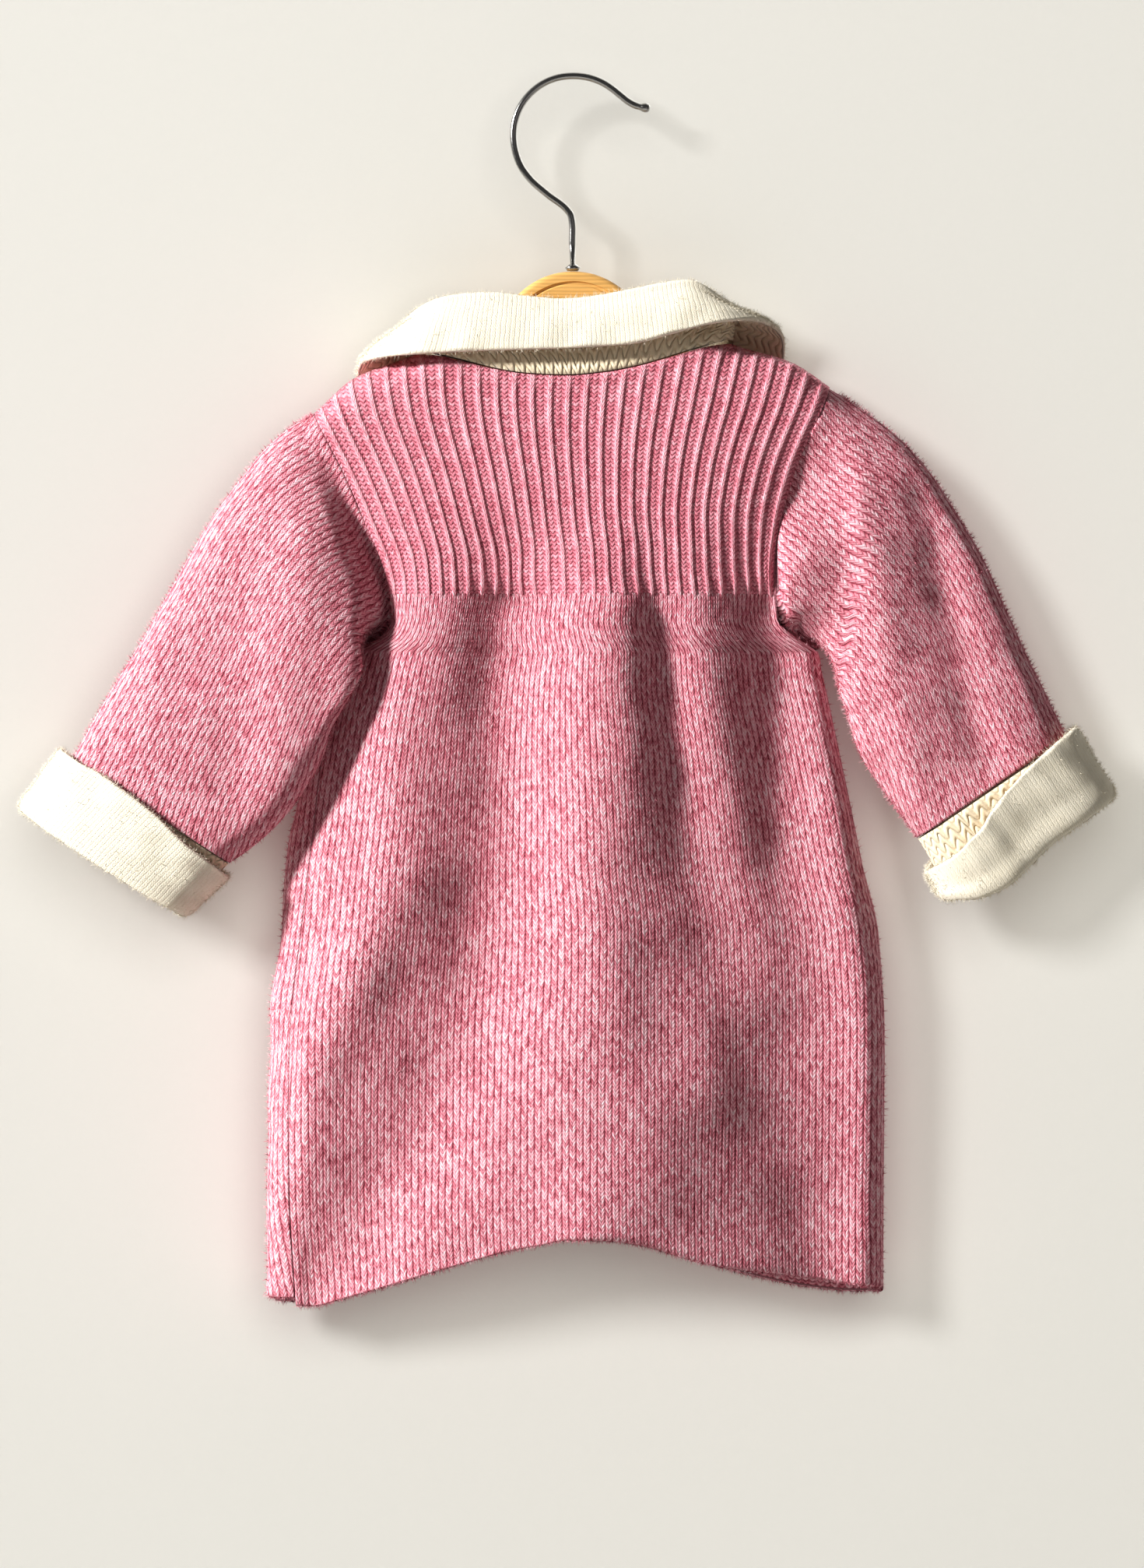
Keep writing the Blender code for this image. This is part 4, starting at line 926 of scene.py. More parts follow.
def rim(outer, inner, step, outer_uv, inner_uv):
    """Faces that close a wall between a fine outer line and an inner line with every step-th point."""
    cells = len(inner) - 1
    at = np.arange(cells)[:, None] * step + np.arange(step + 1)[None, :]
    far = np.stack([np.arange(cells) + 1, np.arange(cells)], -1)
    corners = np.concatenate([outer[at], inner[far]], 1)
    maps = np.concatenate([outer_uv[at], inner_uv[far]], 1)
    return corners, maps


def loose_fibres(outer, normal, uv, count, first):
    """Loose ends of wool on the cloth's outer face: closed three-sided spikes on random points, most
    where the face turns away from the seen side. Each starts in the cloth and leans at random; its
    points are numbered from first on."""
    draw = np.random.default_rng(count)
    away = np.exp(-((normal[1:-1, 1:-1, 1] / FIBRE_SIDE) ** 2)) + FIBRE_FACE
    share = np.cumsum(away.ravel())
    pick = np.searchsorted(share, draw.uniform(0, share[-1], count))
    row, col = np.unravel_index(np.minimum(pick, away.size - 1), away.shape)
    row, col = row + 1, col + 1
    way = unit(normal[row, col] + draw.normal(0, FIBRE_LEAN, (count, 3)))
    foot = outer[row, col] + draw.uniform(-0.5, 0.5, (count, 1)) * (outer[row, col - 1] - outer[row, col])
    length = draw.uniform(0.4, 1.0, (count, 1)) ** 1.5 * FIBRE_LONG
    side = unit(np.cross(way, np.array([0.31, 0.42, 0.85])))
    other = np.cross(way, side)
    corners = [foot + FIBRE_THICK * (math.cos(a) * side + math.sin(a) * other) for a in THIRDS]
    points = np.stack([*corners, foot + way * length], 1).reshape(-1, 3)
    index = first + np.arange(count)[:, None] * 4
    faces = np.concatenate([index + np.array(f) for f in ((0, 2, 1), (0, 1, 3), (1, 2, 3), (2, 0, 3))])
    maps = np.repeat(np.tile(uv[row, col], (4, 1))[:, None], 3, 1)
    return points, (faces, maps)


def cloth_wall(name, mid, normal, uv, thick, lift, steps, wrap, material, roll_rows=(), fibres=0):
    """A closed cloth wall about a middle grid: outer points moved out by half the thickness and the
    lift, inner points on every steps-th row and column, and rims. roll_rows names the edges (0 first,
    -1 last) whose rim is rounded: the edge row turns through a half circle of the wall's thickness.
    fibres is the number of loose ends of wool on its outer face."""
    outer = mid + normal * (thick / 2 + lift)[..., None]
    down, over = steps
    cols = mid.shape[1] if wrap else mid.shape[1] - 1
    pick_r = np.arange(0, mid.shape[0], down)
    pick_c = np.arange(0, cols + (0 if wrap else 1), over)
    inner = (mid - normal * thick / 2)[np.ix_(pick_r, pick_c)]
    inner_uv = uv[np.ix_(pick_r, np.append(pick_c, cols) if wrap else pick_c)] + np.array([INSIDE, 0.0])
    top_rows, top_uv, facing = [outer], [uv], [normal]
    for edge in roll_rows:
        way = unit(mid[edge] - mid[1 if edge == 0 else -2])
        rows, maps = [], []
        for angle in ROLL_ANGLES:
            a = math.radians(angle)
            ahead = way * thick / 2 * math.sin(a)
            rows.append(mid[edge] + ahead + normal[edge] * thick / 2 * math.cos(a))
            shift = (1 if edge == -1 else -1) * thick / 2 * a / ROLLED_ROW
            maps.append(uv[edge] + np.array([0.0, shift]))
        rows, maps = np.array(rows), np.array(maps)
        turned = unit(rows - mid[edge])
        if edge == 0:
            top_rows.insert(0, rows[::-1])
            top_uv.insert(0, maps[::-1])
            facing.insert(0, turned[::-1])
        else:
            top_rows.append(rows)
            top_uv.append(maps)
            facing.append(turned)
    outer, outer_uv = np.concatenate(top_rows), np.concatenate(top_uv)
    outer_at = numbered(outer)
    inner_at = numbered(inner, outer_at.size)
    patches = [(quads(outer_at, wrap), quad_uvs(outer_uv)), (quads(inner_at, wrap), quad_uvs(inner_uv))]
    first = len(ROLL_ANGLES) if 0 in roll_rows else 0
    for row in (0, -1):
        out_line, in_line = outer_at[row], inner_at[row]
        if wrap:
            out_line, in_line = np.append(out_line, out_line[0]), np.append(in_line, in_line[0])
        patches.append(rim(out_line, in_line, over, outer_uv[row], inner_uv[row]))
    if not wrap:
        for col in (0, -1):
            line = outer_at[first : first + mid.shape[0], col]
            line_uv = outer_uv[first : first + mid.shape[0], col]
            patches.append(rim(line, inner_at[:, col], down, line_uv, inner_uv[:, col]))
            ends = ((outer_at[: first + 1, col], inner_at[:1, col]),
                    (outer_at[first + mid.shape[0] - 1 :, col], inner_at[-1:, col]))
            for part, meet in ends:
                if len(part) > 1:
                    face = np.concatenate([part, meet])
                    patches.append((face[None], np.zeros((1, len(face), 2))))
    points = np.concatenate([outer.reshape(-1, 3), inner.reshape(-1, 3)])
    if fibres:
        loose, patch = loose_fibres(outer, np.concatenate(facing), outer_uv, fibres, len(points))
        points = np.concatenate([points, loose])
        patches.append(patch)
    return make_piece(name, points, patches, material)


# ---- shader arithmetic


def feed(tree, value, socket):
    """Link a socket into another, or set a plain value on it."""
    if isinstance(value, bpy.types.NodeSocket):
        tree.links.new(value, socket)
    else:
        socket.default_value = value


def calc(tree, operation, *values, clamp=False):
    node = tree.nodes.new("ShaderNodeMath")
    node.operation = operation
    node.use_clamp = clamp
    for value, socket in zip(values, node.inputs):
        feed(tree, value, socket)
    return node.outputs[0]


def total(tree, *values):
    """Sum of several sockets or numbers."""
    so_far = values[0]
    for value in values[1:]:
        so_far = calc(tree, "ADD", so_far, value)
    return so_far


def times(tree, *values):
    product = values[0]
    for value in values[1:]:
        product = calc(tree, "MULTIPLY", product, value)
    return product


def about_middle(tree, value, *weights):
    """How far a value between 0 and 1 is from its middle, times the weights."""
    return times(tree, calc(tree, "SUBTRACT", value, 0.5), *weights)


def vector(tree, x, y, z=0.0):
    node = tree.nodes.new("ShaderNodeCombineXYZ")
    for value, socket in zip((x, y, z), node.inputs):
        feed(tree, value, socket)
    return node.outputs[0]


def noise(tree, place, scale, detail=2.0, rough=0.5):
    node = tree.nodes.new("ShaderNodeTexNoise")
    feed(tree, place, node.inputs["Vector"])
    node.inputs["Scale"].default_value = scale
    node.inputs["Detail"].default_value = detail
    node.inputs["Roughness"].default_value = rough
    return node.outputs["Fac"]


def draw_in(tree, cell):
    """A random number for each whole-numbered cell."""
    node = tree.nodes.new("ShaderNodeTexWhiteNoise")
    node.noise_dimensions = "2D"
    feed(tree, cell, node.inputs["Vector"])
    return node.outputs["Value"]


def blend(tree, share, low, high):
    """Colour or number between two others."""
    node = tree.nodes.new("ShaderNodeMix")
    colour = isinstance(low, tuple) or getattr(low, "type", "") == "RGBA"
    node.data_type = "RGBA" if colour else "FLOAT"
    spot = {"FLOAT": (0, 2, 3), "RGBA": (0, 6, 7)}[node.data_type]
    for value, i in zip((share, low, high), spot):
        feed(tree, value, node.inputs[i])
    return node.outputs[2 if colour else 0]


def ramp(tree, value, stops):
    node = tree.nodes.new("ShaderNodeValToRGB")
    feed(tree, value, node.inputs[0])
    points = node.color_ramp.elements
    while len(points) < len(stops):
        points.new(0.5)
    for point, (place, colour) in zip(points, stops):
        point.position, point.color = place, (*colour, 1.0)
    return node.outputs[0]


def new_group(name, inputs, outputs):
    """A node group with number inputs and outputs, and its two end nodes."""
    tree = bpy.data.node_groups.new(name, "ShaderNodeTree")
    for label, value in inputs:
        socket = tree.interface.new_socket(label, in_out="INPUT", socket_type="NodeSocketFloat")
        socket.default_value = value
    for label in outputs:
        tree.interface.new_socket(label, in_out="OUTPUT", socket_type="NodeSocketFloat")
    return tree, tree.nodes.new("NodeGroupInput").outputs, tree.nodes.new("NodeGroupOutput").inputs


def use_group(tree, name, **values):
    node = tree.nodes.new("ShaderNodeGroup")
    node.node_tree = bpy.data.node_groups[name]
    for label, value in values.items():
        feed(tree, value, node.inputs[label])
    return node.outputs


def stocking_group():
    """Stocking stitch: columns of V shapes. Across a wale the two arms of a V rise outwards, so a
    stitch's own height counts from row number less slant times the distance from the wale's middle.
    Each arm is a round yarn across its rows and dips where it passes under its neighbours."""
    tree, given, out = new_group(
        "stocking_stitch",
        (("Wale", 0.0), ("Row", 0.0), ("Slant", 1.25), ("Wander", 0.16)),
        ("Height", "Gap_shade", "Stitch", "Fibre"),
    )
    loose = noise(tree, vector(tree, given["Wale"], given["Row"]), scale=0.35, detail=2.0)
    sway = about_middle(tree, loose, given["Wander"])
    wale = total(tree, given["Wale"], sway)
    part = calc(tree, "FRACT", wale)
    half = calc(tree, "MULTIPLY", calc(tree, "ABSOLUTE", calc(tree, "SUBTRACT", part, 0.5)), 2.0)
    row = calc(tree, "SUBTRACT", given["Row"], times(tree, given["Slant"], half))
    row = total(tree, row, times(tree, sway, 1.4))
    place = calc(tree, "FRACT", row)
    yarn = calc(tree, "POWER", calc(tree, "SINE", times(tree, place, math.pi)), 0.6)
    ends = calc(tree, "SINE", times(tree, total(tree, times(tree, half, 0.72), 0.27), math.pi))
    ends = calc(tree, "POWER", calc(tree, "MAXIMUM", ends, 0.0), 0.6)
    side = calc(tree, "GREATER_THAN", part, 0.5)
    column = total(tree, calc(tree, "FLOOR", wale), times(tree, side, 0.37))
    stitch = draw_in(tree, vector(tree, column, calc(tree, "FLOOR", row)))
    strand = vector(tree, times(tree, wale, 2.2), times(tree, row, 9.0), times(tree, side, 3.0))
    fibre = noise(tree, strand, scale=1.0, detail=3.0, rough=0.65)
    feed(tree, times(tree, total(tree, times(tree, yarn, 0.6), 0.4), ends), out["Height"])
    # Painted shade: Gap_shade darkens the lines between the wales, most where the yarn dips, more at some
    # lines than at others.
    between_wales = vector(tree, calc(tree, "ROUND", wale), times(tree, given["Row"], 0.45))
    uneven = noise(tree, between_wales, scale=1.0, detail=2.0)
    edge = calc(tree, "POWER", half, 4.0)
    between = total(tree, 1.0, times(tree, yarn, -0.75))
    feed(tree, times(tree, edge, between, step_up(tree, uneven, 0.2, 0.8)), out["Gap_shade"])
    feed(tree, stitch, out["Stitch"])
    feed(tree, fibre, out["Fibre"])


def purl_group():
    """Purl side: rows of small arcs. The arc's height is a round yarn across each row, and the row
    sways by a quarter of itself across a wale, so that the arcs interlock."""
    tree, given, out = new_group(
        "purl_rows", (("Wale", 0.0), ("Row", 0.0), ("Sway", 0.2)), ("Height", "Stitch", "Fibre")
    )
    loose = about_middle(tree, noise(tree, vector(tree, given["Wale"], given["Row"]), scale=0.6, detail=2.0))
    turn = times(tree, total(tree, given["Wale"], times(tree, loose, 0.3)), 2 * math.pi)
    sway = times(tree, given["Sway"], calc(tree, "COSINE", turn))
    row = total(tree, given["Row"], sway, times(tree, loose, 0.5))
    place = calc(tree, "FRACT", row)
    yarn = calc(tree, "POWER", calc(tree, "SINE", times(tree, place, math.pi)), 0.7)
    arc = calc(tree, "ABSOLUTE", calc(tree, "COSINE", times(tree, turn, 0.5)))
    bead = total(tree, times(tree, arc, 0.45), 0.55)
    column = calc(tree, "FLOOR", total(tree, given["Wale"], 0.5))
    stitch = draw_in(tree, vector(tree, column, calc(tree, "FLOOR", row)))
    strand = vector(tree, times(tree, given["Wale"], 3.0), times(tree, row, 8.0))
    feed(tree, times(tree, yarn, bead), out["Height"])
    feed(tree, stitch, out["Stitch"])
    feed(tree, noise(tree, strand, scale=1.0, detail=3.0, rough=0.65), out["Fibre"])


def new_material(name):
    material = bpy.data.materials.new(name)
    material.use_nodes = True
    tree = material.node_tree
    shader = tree.nodes["Principled BSDF"]
    return material, tree, shader


def set_wool(shader, sheen, tint):
    shader.inputs["Sheen Weight"].default_value = sheen
    shader.inputs["Sheen Roughness"].default_value = 0.55
    shader.inputs["Sheen Tint"].default_value = (*tint, 1.0)
    shader.inputs["Specular IOR Level"].default_value = 0.25


def map_place(tree):
    """The two numbers of the piece's own map: wale and row, and whether the face is the inner one."""
    uv = tree.nodes.new("ShaderNodeUVMap")
    uv.uv_map = "knit"
    parts = tree.nodes.new("ShaderNodeSeparateXYZ")
    feed(tree, uv.outputs[0], parts.inputs[0])
    inner = calc(tree, "GREATER_THAN", parts.outputs[0], INSIDE / 2)
    return parts.outputs[0], parts.outputs[1], inner


def object_place(tree):
    return tree.nodes.new("ShaderNodeTexCoord").outputs["Object"]


def step_up(tree, value, low, high):
    node = tree.nodes.new("ShaderNodeMapRange")
    node.interpolation_type = "SMOOTHSTEP"
    feed(tree, value, node.inputs[0])
    node.inputs[1].default_value = low
    node.inputs[2].default_value = high
    return node.outputs[0]


def bump(tree, height, depth, shader, strength=1.0):
    node = tree.nodes.new("ShaderNodeBump")
    node.inputs["Strength"].default_value = strength
    node.inputs["Distance"].default_value = depth
    feed(tree, height, node.inputs["Height"])
    tree.links.new(node.outputs[0], shader.inputs["Normal"])


def pink_knit(name, settings, first_rib):
    """Heathered pink wool: stocking stitch, and above first_rib a rib of one raised wale and two
    purled ones. The colour runs from crimson to near white by a draw for each stitch and the fibres'
    own streaks, and by painted shade: darker down the stitch's height into its gaps and between
    the wales, lighter on the yarn's crown, and lighter on the raised ribs than on the purled ground."""
    material, tree, shader = new_material(name)
    wale, row, inner = map_place(tree)
    knit = use_group(tree, "stocking_stitch", Wale=wale, Row=row)
    purl = use_group(tree, "purl_rows", Wale=wale, Row=row)
    number = calc(tree, "FLOOR", calc(tree, "MODULO", wale, float(WALES_A_RIB)))
    raised = calc(tree, "COMPARE", number, 1.0, 0.2)
    yoke = calc(tree, "GREATER_THAN", row, first_rib)
    is_purl = calc(tree, "MAXIMUM", times(tree, yoke, calc(tree, "SUBTRACT", 1.0, raised)), inner)
    height = blend(tree, is_purl, knit["Height"], purl["Height"])
    stitch = blend(tree, is_purl, knit["Stitch"], purl["Stitch"])
    fibre = blend(tree, is_purl, knit["Fibre"], purl["Fibre"])
    place = object_place(tree)
    cloud = noise(tree, place, scale=60.0, detail=3.0)
    fleck = noise(tree, place, scale=1400.0, detail=2.0, rough=0.7)
    # Painted shade between the wales, on the stocking stitch only.
    gap = times(tree, knit["Gap_shade"], calc(tree, "SUBTRACT", 1.0, is_purl))
    # Painted light and shade: the raised ribs are drawn lighter and the purled ground between them darker.
    rib = times(tree, yoke, total(tree, times(tree, raised, 0.12), -0.02))
    stitches = vector(tree, times(tree, wale, 1.1), times(tree, row, 0.8))
    patch = noise(tree, stitches, scale=1.0, detail=2.0, rough=0.6)
    calm = blend(tree, yoke, 1.0, 0.5)
    shade = total(
        tree,
        rib,
        # Painted shade and highlight: darker down the stitch's height into its gaps, lighter on its crown.
        about_middle(tree, height, calm, 0.5),
        times(tree, gap, -0.5),
        about_middle(tree, stitch, calm, 0.42),
        about_middle(tree, fibre, calm, 0.85),
        about_middle(tree, patch, calm, 0.55),
        about_middle(tree, fleck, 0.5),
        about_middle(tree, cloud, 0.16),
        0.53,
    )
    # The darkest stop is the yarn's darkest fibres and also the painted shade in the stitch gaps and between
    # the wales.
    stops = ((0.0, settings.yarn_dark_and_gap_shade), (0.3, settings.yarn_deep), (0.55, settings.yarn_rose),
             (0.78, settings.yarn_light), (1.0, settings.yarn_pale))
    feed(tree, ramp(tree, shade, [(p, tuple(c)) for p, c in stops]), shader.inputs["Base Color"])
    feed(tree, total(tree, 0.98, times(tree, height, -0.12)), shader.inputs["Roughness"])
    set_wool(shader, sheen=0.1, tint=(1.0, 0.8, 0.83))
    relief = total(tree, height, times(tree, fibre, 0.35), times(tree, fleck, 0.2))
    bump(tree, relief, settings.stitch_depth * MM, shader)
    return material


def cream_knit(name, settings):
    """Cream wool, brushed: fine stocking wales outside, purl inside, softened by loose fibres."""
    material, tree, shader = new_material(name)
    wale, row, inner = map_place(tree)
    knit = use_group(tree, "stocking_stitch", Wale=wale, Row=row, Wander=0.5)
    purl = use_group(tree, "purl_rows", Wale=times(tree, wale, 0.3), Row=times(tree, row, 0.36), Sway=0.36)
    height = blend(tree, inner, knit["Height"], purl["Height"])
    fibre = blend(tree, inner, knit["Fibre"], purl["Fibre"])
    place = object_place(tree)
    hair = noise(tree, place, scale=1100.0, detail=4.0, rough=0.75)
    cloud = noise(tree, place, scale=90.0, detail=3.0)
    shade = total(
        tree,
        # Painted shade and highlight: darker in the stitches' hollows and lighter on their crowns, most
        # strongly on the inner purl face.
        times(tree, calc(tree, "SUBTRACT", height, 0.5), blend(tree, inner, 0.16, 1.0)),
        about_middle(tree, fibre, 0.3),
        about_middle(tree, hair, 0.45),
        about_middle(tree, cloud, 0.2),
        # Painted light: the inner face is drawn lighter, as where it shows, on the stand under the fall and
        # inside the cuffs, it lies in shade.
        blend(tree, inner, 0.6, 0.92),
    )
    # The deepest stop is the painted shade in the stitches' hollows.
    stops = ((0.0, settings.cream_gap_shade), (0.45, settings.cream_mid), (0.85, settings.cream_pale))
    brushed = ramp(tree, shade, [(p, tuple(c)) for p, c in stops])
    # Painted shade: a warm-tinted copy of the ramp for the inner face, which shows only where it lies in
    # shade.
    painted_shade_copy = ramp(tree, shade, [(p, tuple(np.array(c) * settings.cream_painted_shade_tint)) for p, c in stops])
    feed(tree, blend(tree, inner, brushed, painted_shade_copy), shader.inputs["Base Color"])
    shader.inputs["Roughness"].default_value = 0.95
    set_wool(shader, sheen=0.5, tint=(1.0, 0.97, 0.9))
    yarn = times(tree, height, blend(tree, inner, 0.3, 1.6))
    relief = total(tree, yarn, times(tree, hair, 0.45), times(tree, fibre, 0.12))
    bump(tree, relief, settings.stitch_depth * MM, shader)
    return material


def hanger_wood(name, colour):
    """Varnished pine: long growth rings across the board and pores along the grain."""
    material, tree, shader = new_material(name)
    place = object_place(tree)
    move = tree.nodes.new("ShaderNodeMapping")
    move.inputs["Scale"].default_value = (14.0, 30.0, 120.0)
    feed(tree, place, move.inputs[0])
    wander = noise(tree, move.outputs[0], scale=1.3, detail=4.0, rough=0.6)
    rings = tree.nodes.new("ShaderNodeTexWave")
    rings.bands_direction = "Z"
    rings.inputs["Scale"].default_value = 1.6
    rings.inputs["Distortion"].default_value = 5.0
    rings.inputs["Detail"].default_value = 3.0
    feed(tree, move.outputs[0], rings.inputs["Vector"])
    fine = tree.nodes.new("ShaderNodeMapping")
    fine.inputs["Scale"].default_value = (60.0, 500.0, 1900.0)
    feed(tree, place, fine.inputs[0])
    pores = noise(tree, fine.outputs[0], scale=1.0, detail=3.0, rough=0.6)
    ringed = times(tree, rings.outputs["Fac"], 0.35)
    grain = total(tree, ringed, times(tree, wander, 0.4), times(tree, pores, 0.3))
    base = np.array(colour)
    stops = ((0.2, tuple(base * 0.72)), (0.55, tuple(base)), (0.85, tuple(np.minimum(base * 1.18, 1))))
    feed(tree, ramp(tree, grain, stops), shader.inputs["Base Color"])
    feed(tree, total(tree, 0.34, times(tree, pores, 0.2)), shader.inputs["Roughness"])
    shader.inputs["Coat Weight"].default_value = 0.25
    shader.inputs["Coat Roughness"].default_value = 0.2
    bump(tree, grain, 0.2 * MM, shader, strength=0.4)
    return material


def hook_chrome(name, colour):
    """Bright plated wire with a few dull spots."""
    material, tree, shader = new_material(name)
    spots = noise(tree, object_place(tree), scale=900.0, detail=3.0, rough=0.6)
    dull = (*(np.array(colour) * 0.86), 1.0)
    feed(tree, blend(tree, spots, dull, (*colour, 1.0)), shader.inputs["Base Color"])
    feed(tree, total(tree, 0.12, times(tree, spots, 0.16)), shader.inputs["Roughness"])
    shader.inputs["Metallic"].default_value = 1.0
    bump(tree, spots, 0.03 * MM, shader, strength=0.3)
    return material


# ---- the pieces


def wale_relief(u, ribbed):
    """Height of the knit over the wall: each wale is two rounded strands, the square root of a sine
    over half a wale, and in the ribbed part only every third wale stands, raised by the rib."""
    part = u % 1.0
    strands = np.sqrt(np.abs(np.sin(2 * math.pi * part)))
    number = np.floor(u + 1e-6) % WALES_A_RIB
    shoulder = RIB_SIDE + (1 - RIB_SIDE) * np.sqrt(np.abs(np.sin(math.pi * part)))
    edge = (np.abs(u - np.round(u)) < 1e-6) & (np.round(u) % WALES_A_RIB == 2)
    raised = np.where((number == 1) | edge, np.where(edge, RIB_SIDE, shoulder), 0.0)
    plain = STRAND * strands
    return plain * (1 - ribbed) + ribbed * raised * (RIB_SHOWN * RIB_HEIGHT + 0.5 * plain)


def side_wales(mid, z, columns, a_wale):
    """Wales added where the skirt goes round the side, so that a stitch keeps its width there."""
    step = np.linalg.norm(np.diff(mid, axis=1), axis=2)
    wider = np.maximum(step / np.median(step, axis=1, keepdims=True) - 1, 0) / a_wale
    middle = (columns[1:] + columns[:-1]) / 2
    wider *= ease((np.abs(middle - 0.5) - SIDE_AT) / SIDE_WIDE) * ease((ARMPIT - z[:, 1:]) / SIDE_FADE)
    more = np.zeros(z.shape)
    more[:, 1:] += np.cumsum(np.where(middle > 0.5, wider, 0), axis=1)
    more[:, :-1] -= np.cumsum(np.where(middle < 0.5, wider, 0)[:, ::-1], axis=1)[:, ::-1]
    return more


def body_panel(name, side, a_wale, settings, material):
    """A front or back in one piece with its ribbed yoke: the body's surface on a grid of wales and
    rows, with the wales raised, and a soft uneven ripple that dies out at the seams."""
    wales = settings.ribs * WALES_A_RIB
    columns = np.arange(wales * a_wale + 1) / (wales * a_wale)
    z_hip = np.linspace(ARMPIT, RIB_FOOT - RIB_RISE, HIP_STEPS)
    z_yoke = np.concatenate([np.linspace(0, YOKE_EVEN, YOKE_STEPS), [0.98, 1.0]])
    mid, normal, z = panel_grid(side, columns, z_yoke, z_hip, SKIRT_STEPS)
    hem = z[0]
    down = np.clip((z - hem) / (ARMPIT - hem), 0, 1)
    rows = down * (ARMPIT - HEM) / settings.row + np.maximum(z - ARMPIT, 0) / settings.row
    u = np.broadcast_to(columns * wales, z.shape)
    ribbed = ease((z - RIB_FOOT + RIB_RISE) / RIB_RISE)
    top = z[-1]
    near_edge = ease((columns * (1 - columns) * 4) / SEAM_CALM) * ease((top - z) / TOP_CALM)
    x, up = mid[..., 0], mid[..., 2]
    ripple = waves(x, up, seed=5 + side, size=34.0) * 0.5 + waves(x, up, seed=9, size=90.0) * 0.8
    share = FOLD_MORE - YOKE_LESS * ease((z - RIB_FOOT + YOKE_FADE / 2) / YOKE_FADE)
    deeper = share * folds(FOLDS_BACK if side < 0 else FOLDS_FRONT, x, z) * near_edge
    mid = mid + normal * deeper[..., None]
    below = top - z
    neck = ribbed * ease((NECK_X + NECK_FADE / 2 - np.abs(mid[..., 0])) / NECK_FADE)
    stop = 1 - neck * (1 - ease((below - RIBS_STOP) / RIBS_FADE))
    ribs = wale_relief(u, ribbed) * stop * ease(below / TOP_FADE)
    band = NECK_BAND * neck * np.exp(-(((below - BAND_AT) / BAND_WIDE) ** 2))
    band = band * (1 - BAND_WAVE + BAND_WAVE * np.cos(u * 2 * math.pi))
    lift = ribs + band + ripple * near_edge * ease((ARMPIT + RIPPLE_ABOVE - z) / RIPPLE_FADE)
    uv = np.stack([u + side_wales(mid, z, columns, a_wale), rows], -1)
    return cloth_wall(name, mid, normal, uv, CLOTH, lift, (INNER_STEP, a_wale), False, material, (0,),
                      PANEL_FIBRES)


def yoke_row(settings):
    """Number of the row where the yoke's ribs begin."""
    return (ARMPIT - HEM) / settings.row + (RIB_FOOT - ARMPIT) / settings.row


def sleeve_piece(name, rows, crease, col, sign, along, settings, material):
    """A sleeve on the solid's rings, made fine. Its wales run along the arm: the map counts rows down
    the arm's direction, and wales round it from the shoulder line by the distance square to that."""
    grid, turn, edge = sleeve_grid(rows, crease, col, sign)
    rings = resample(grid, SLEEVE_RINGS)
    fine = resample_across(rings, SLEEVE_ROUND, True)
    shoulder = int(np.argmax(turn >= 0.5))
    gap = np.linalg.norm(fine - rings[:, shoulder : shoulder + 1], axis=-1).mean(0)
    top = int(np.argmin(gap))
    normal = grid_normal(fine, True) * -sign
    edge = unit(resample(edge, SLEEVE_ROUND, True))
    keep = (1 - ease(np.arange(SLEEVE_RINGS) / (SLEEVE_RINGS * EDGE_KEPT)))[:, None, None]
    normal = unit(edge[None] * keep + normal * (1 - keep))
    axis = np.array(along)
    closed = np.concatenate([fine, fine[:, :1]], 1)
    step = np.diff(closed, axis=1)
    step = step - (step @ axis)[..., None] * axis
    far = np.linalg.norm(step, axis=-1)
    girth = np.concatenate([np.zeros((len(fine), 1)), np.cumsum(far, axis=1)], 1)
    girth = girth - girth[:, top : top + 1]
    uv = np.stack([girth / settings.wale, -(closed @ axis) / settings.row], -1)
    uv += np.array(MAP_START)
    seen = np.clip(-normal[..., 1] * 1.5, 0, 1) * ease(np.arange(SLEEVE_RINGS) / 20 - 0.3)[:, None]
    ripple = waves(fine[..., 0], fine[..., 2], seed=21 + col, size=30.0) * 0.5
    lift = ripple * seen
    return cloth_wall(name, fine, normal, uv, CLOTH, lift, (INNER_STEP, INNER_STEP), True, material, (),
                      SLEEVE_FIBRES)


def cuff_piece(name, rows, crease, col, sign, along, cuff_rows, settings, material):
    """A turned-back cuff on the solid's profile, made fine. Wales run across the strip, along the arm."""
    grid, turn, _ = sleeve_grid(rows, crease, col, sign)
    out = (grid_normal(grid, True) * -sign)[-1]
    profile = cuff_grid(cuff_rows, grid[-1], out, turn, along)
    fine = resample_across(resample(profile, CUFF_ROWS), CUFF_ROUND, True)
    normal = grid_normal(fine, True)
    out_fine = unit(resample(out, CUFF_ROUND, True))
    if np.sum(normal[0] * out_fine) > 0:
        normal = -normal
    closed = np.concatenate([fine, fine[:, :1]], 1)
    girth, down = distances(closed[-1]), distances(closed)
    wales = np.round(girth[-1] / settings.cream_wale)
    uv = np.stack(np.broadcast_arrays(girth / girth[-1] * wales, down[:, None] / settings.cream_row), -1)
    lift = waves(fine[..., 0], fine[..., 2], seed=31 + col, size=14.0) * 0.35
    lift *= ease(np.arange(CUFF_ROWS) / CUFF_ROWS * 3 - 1.6)[:, None]
    return cloth_wall(name, fine, normal, uv, CREAM, lift, (INNER_STEP, INNER_STEP), True, material, (-1,),
                      CUFF_FIBRES)


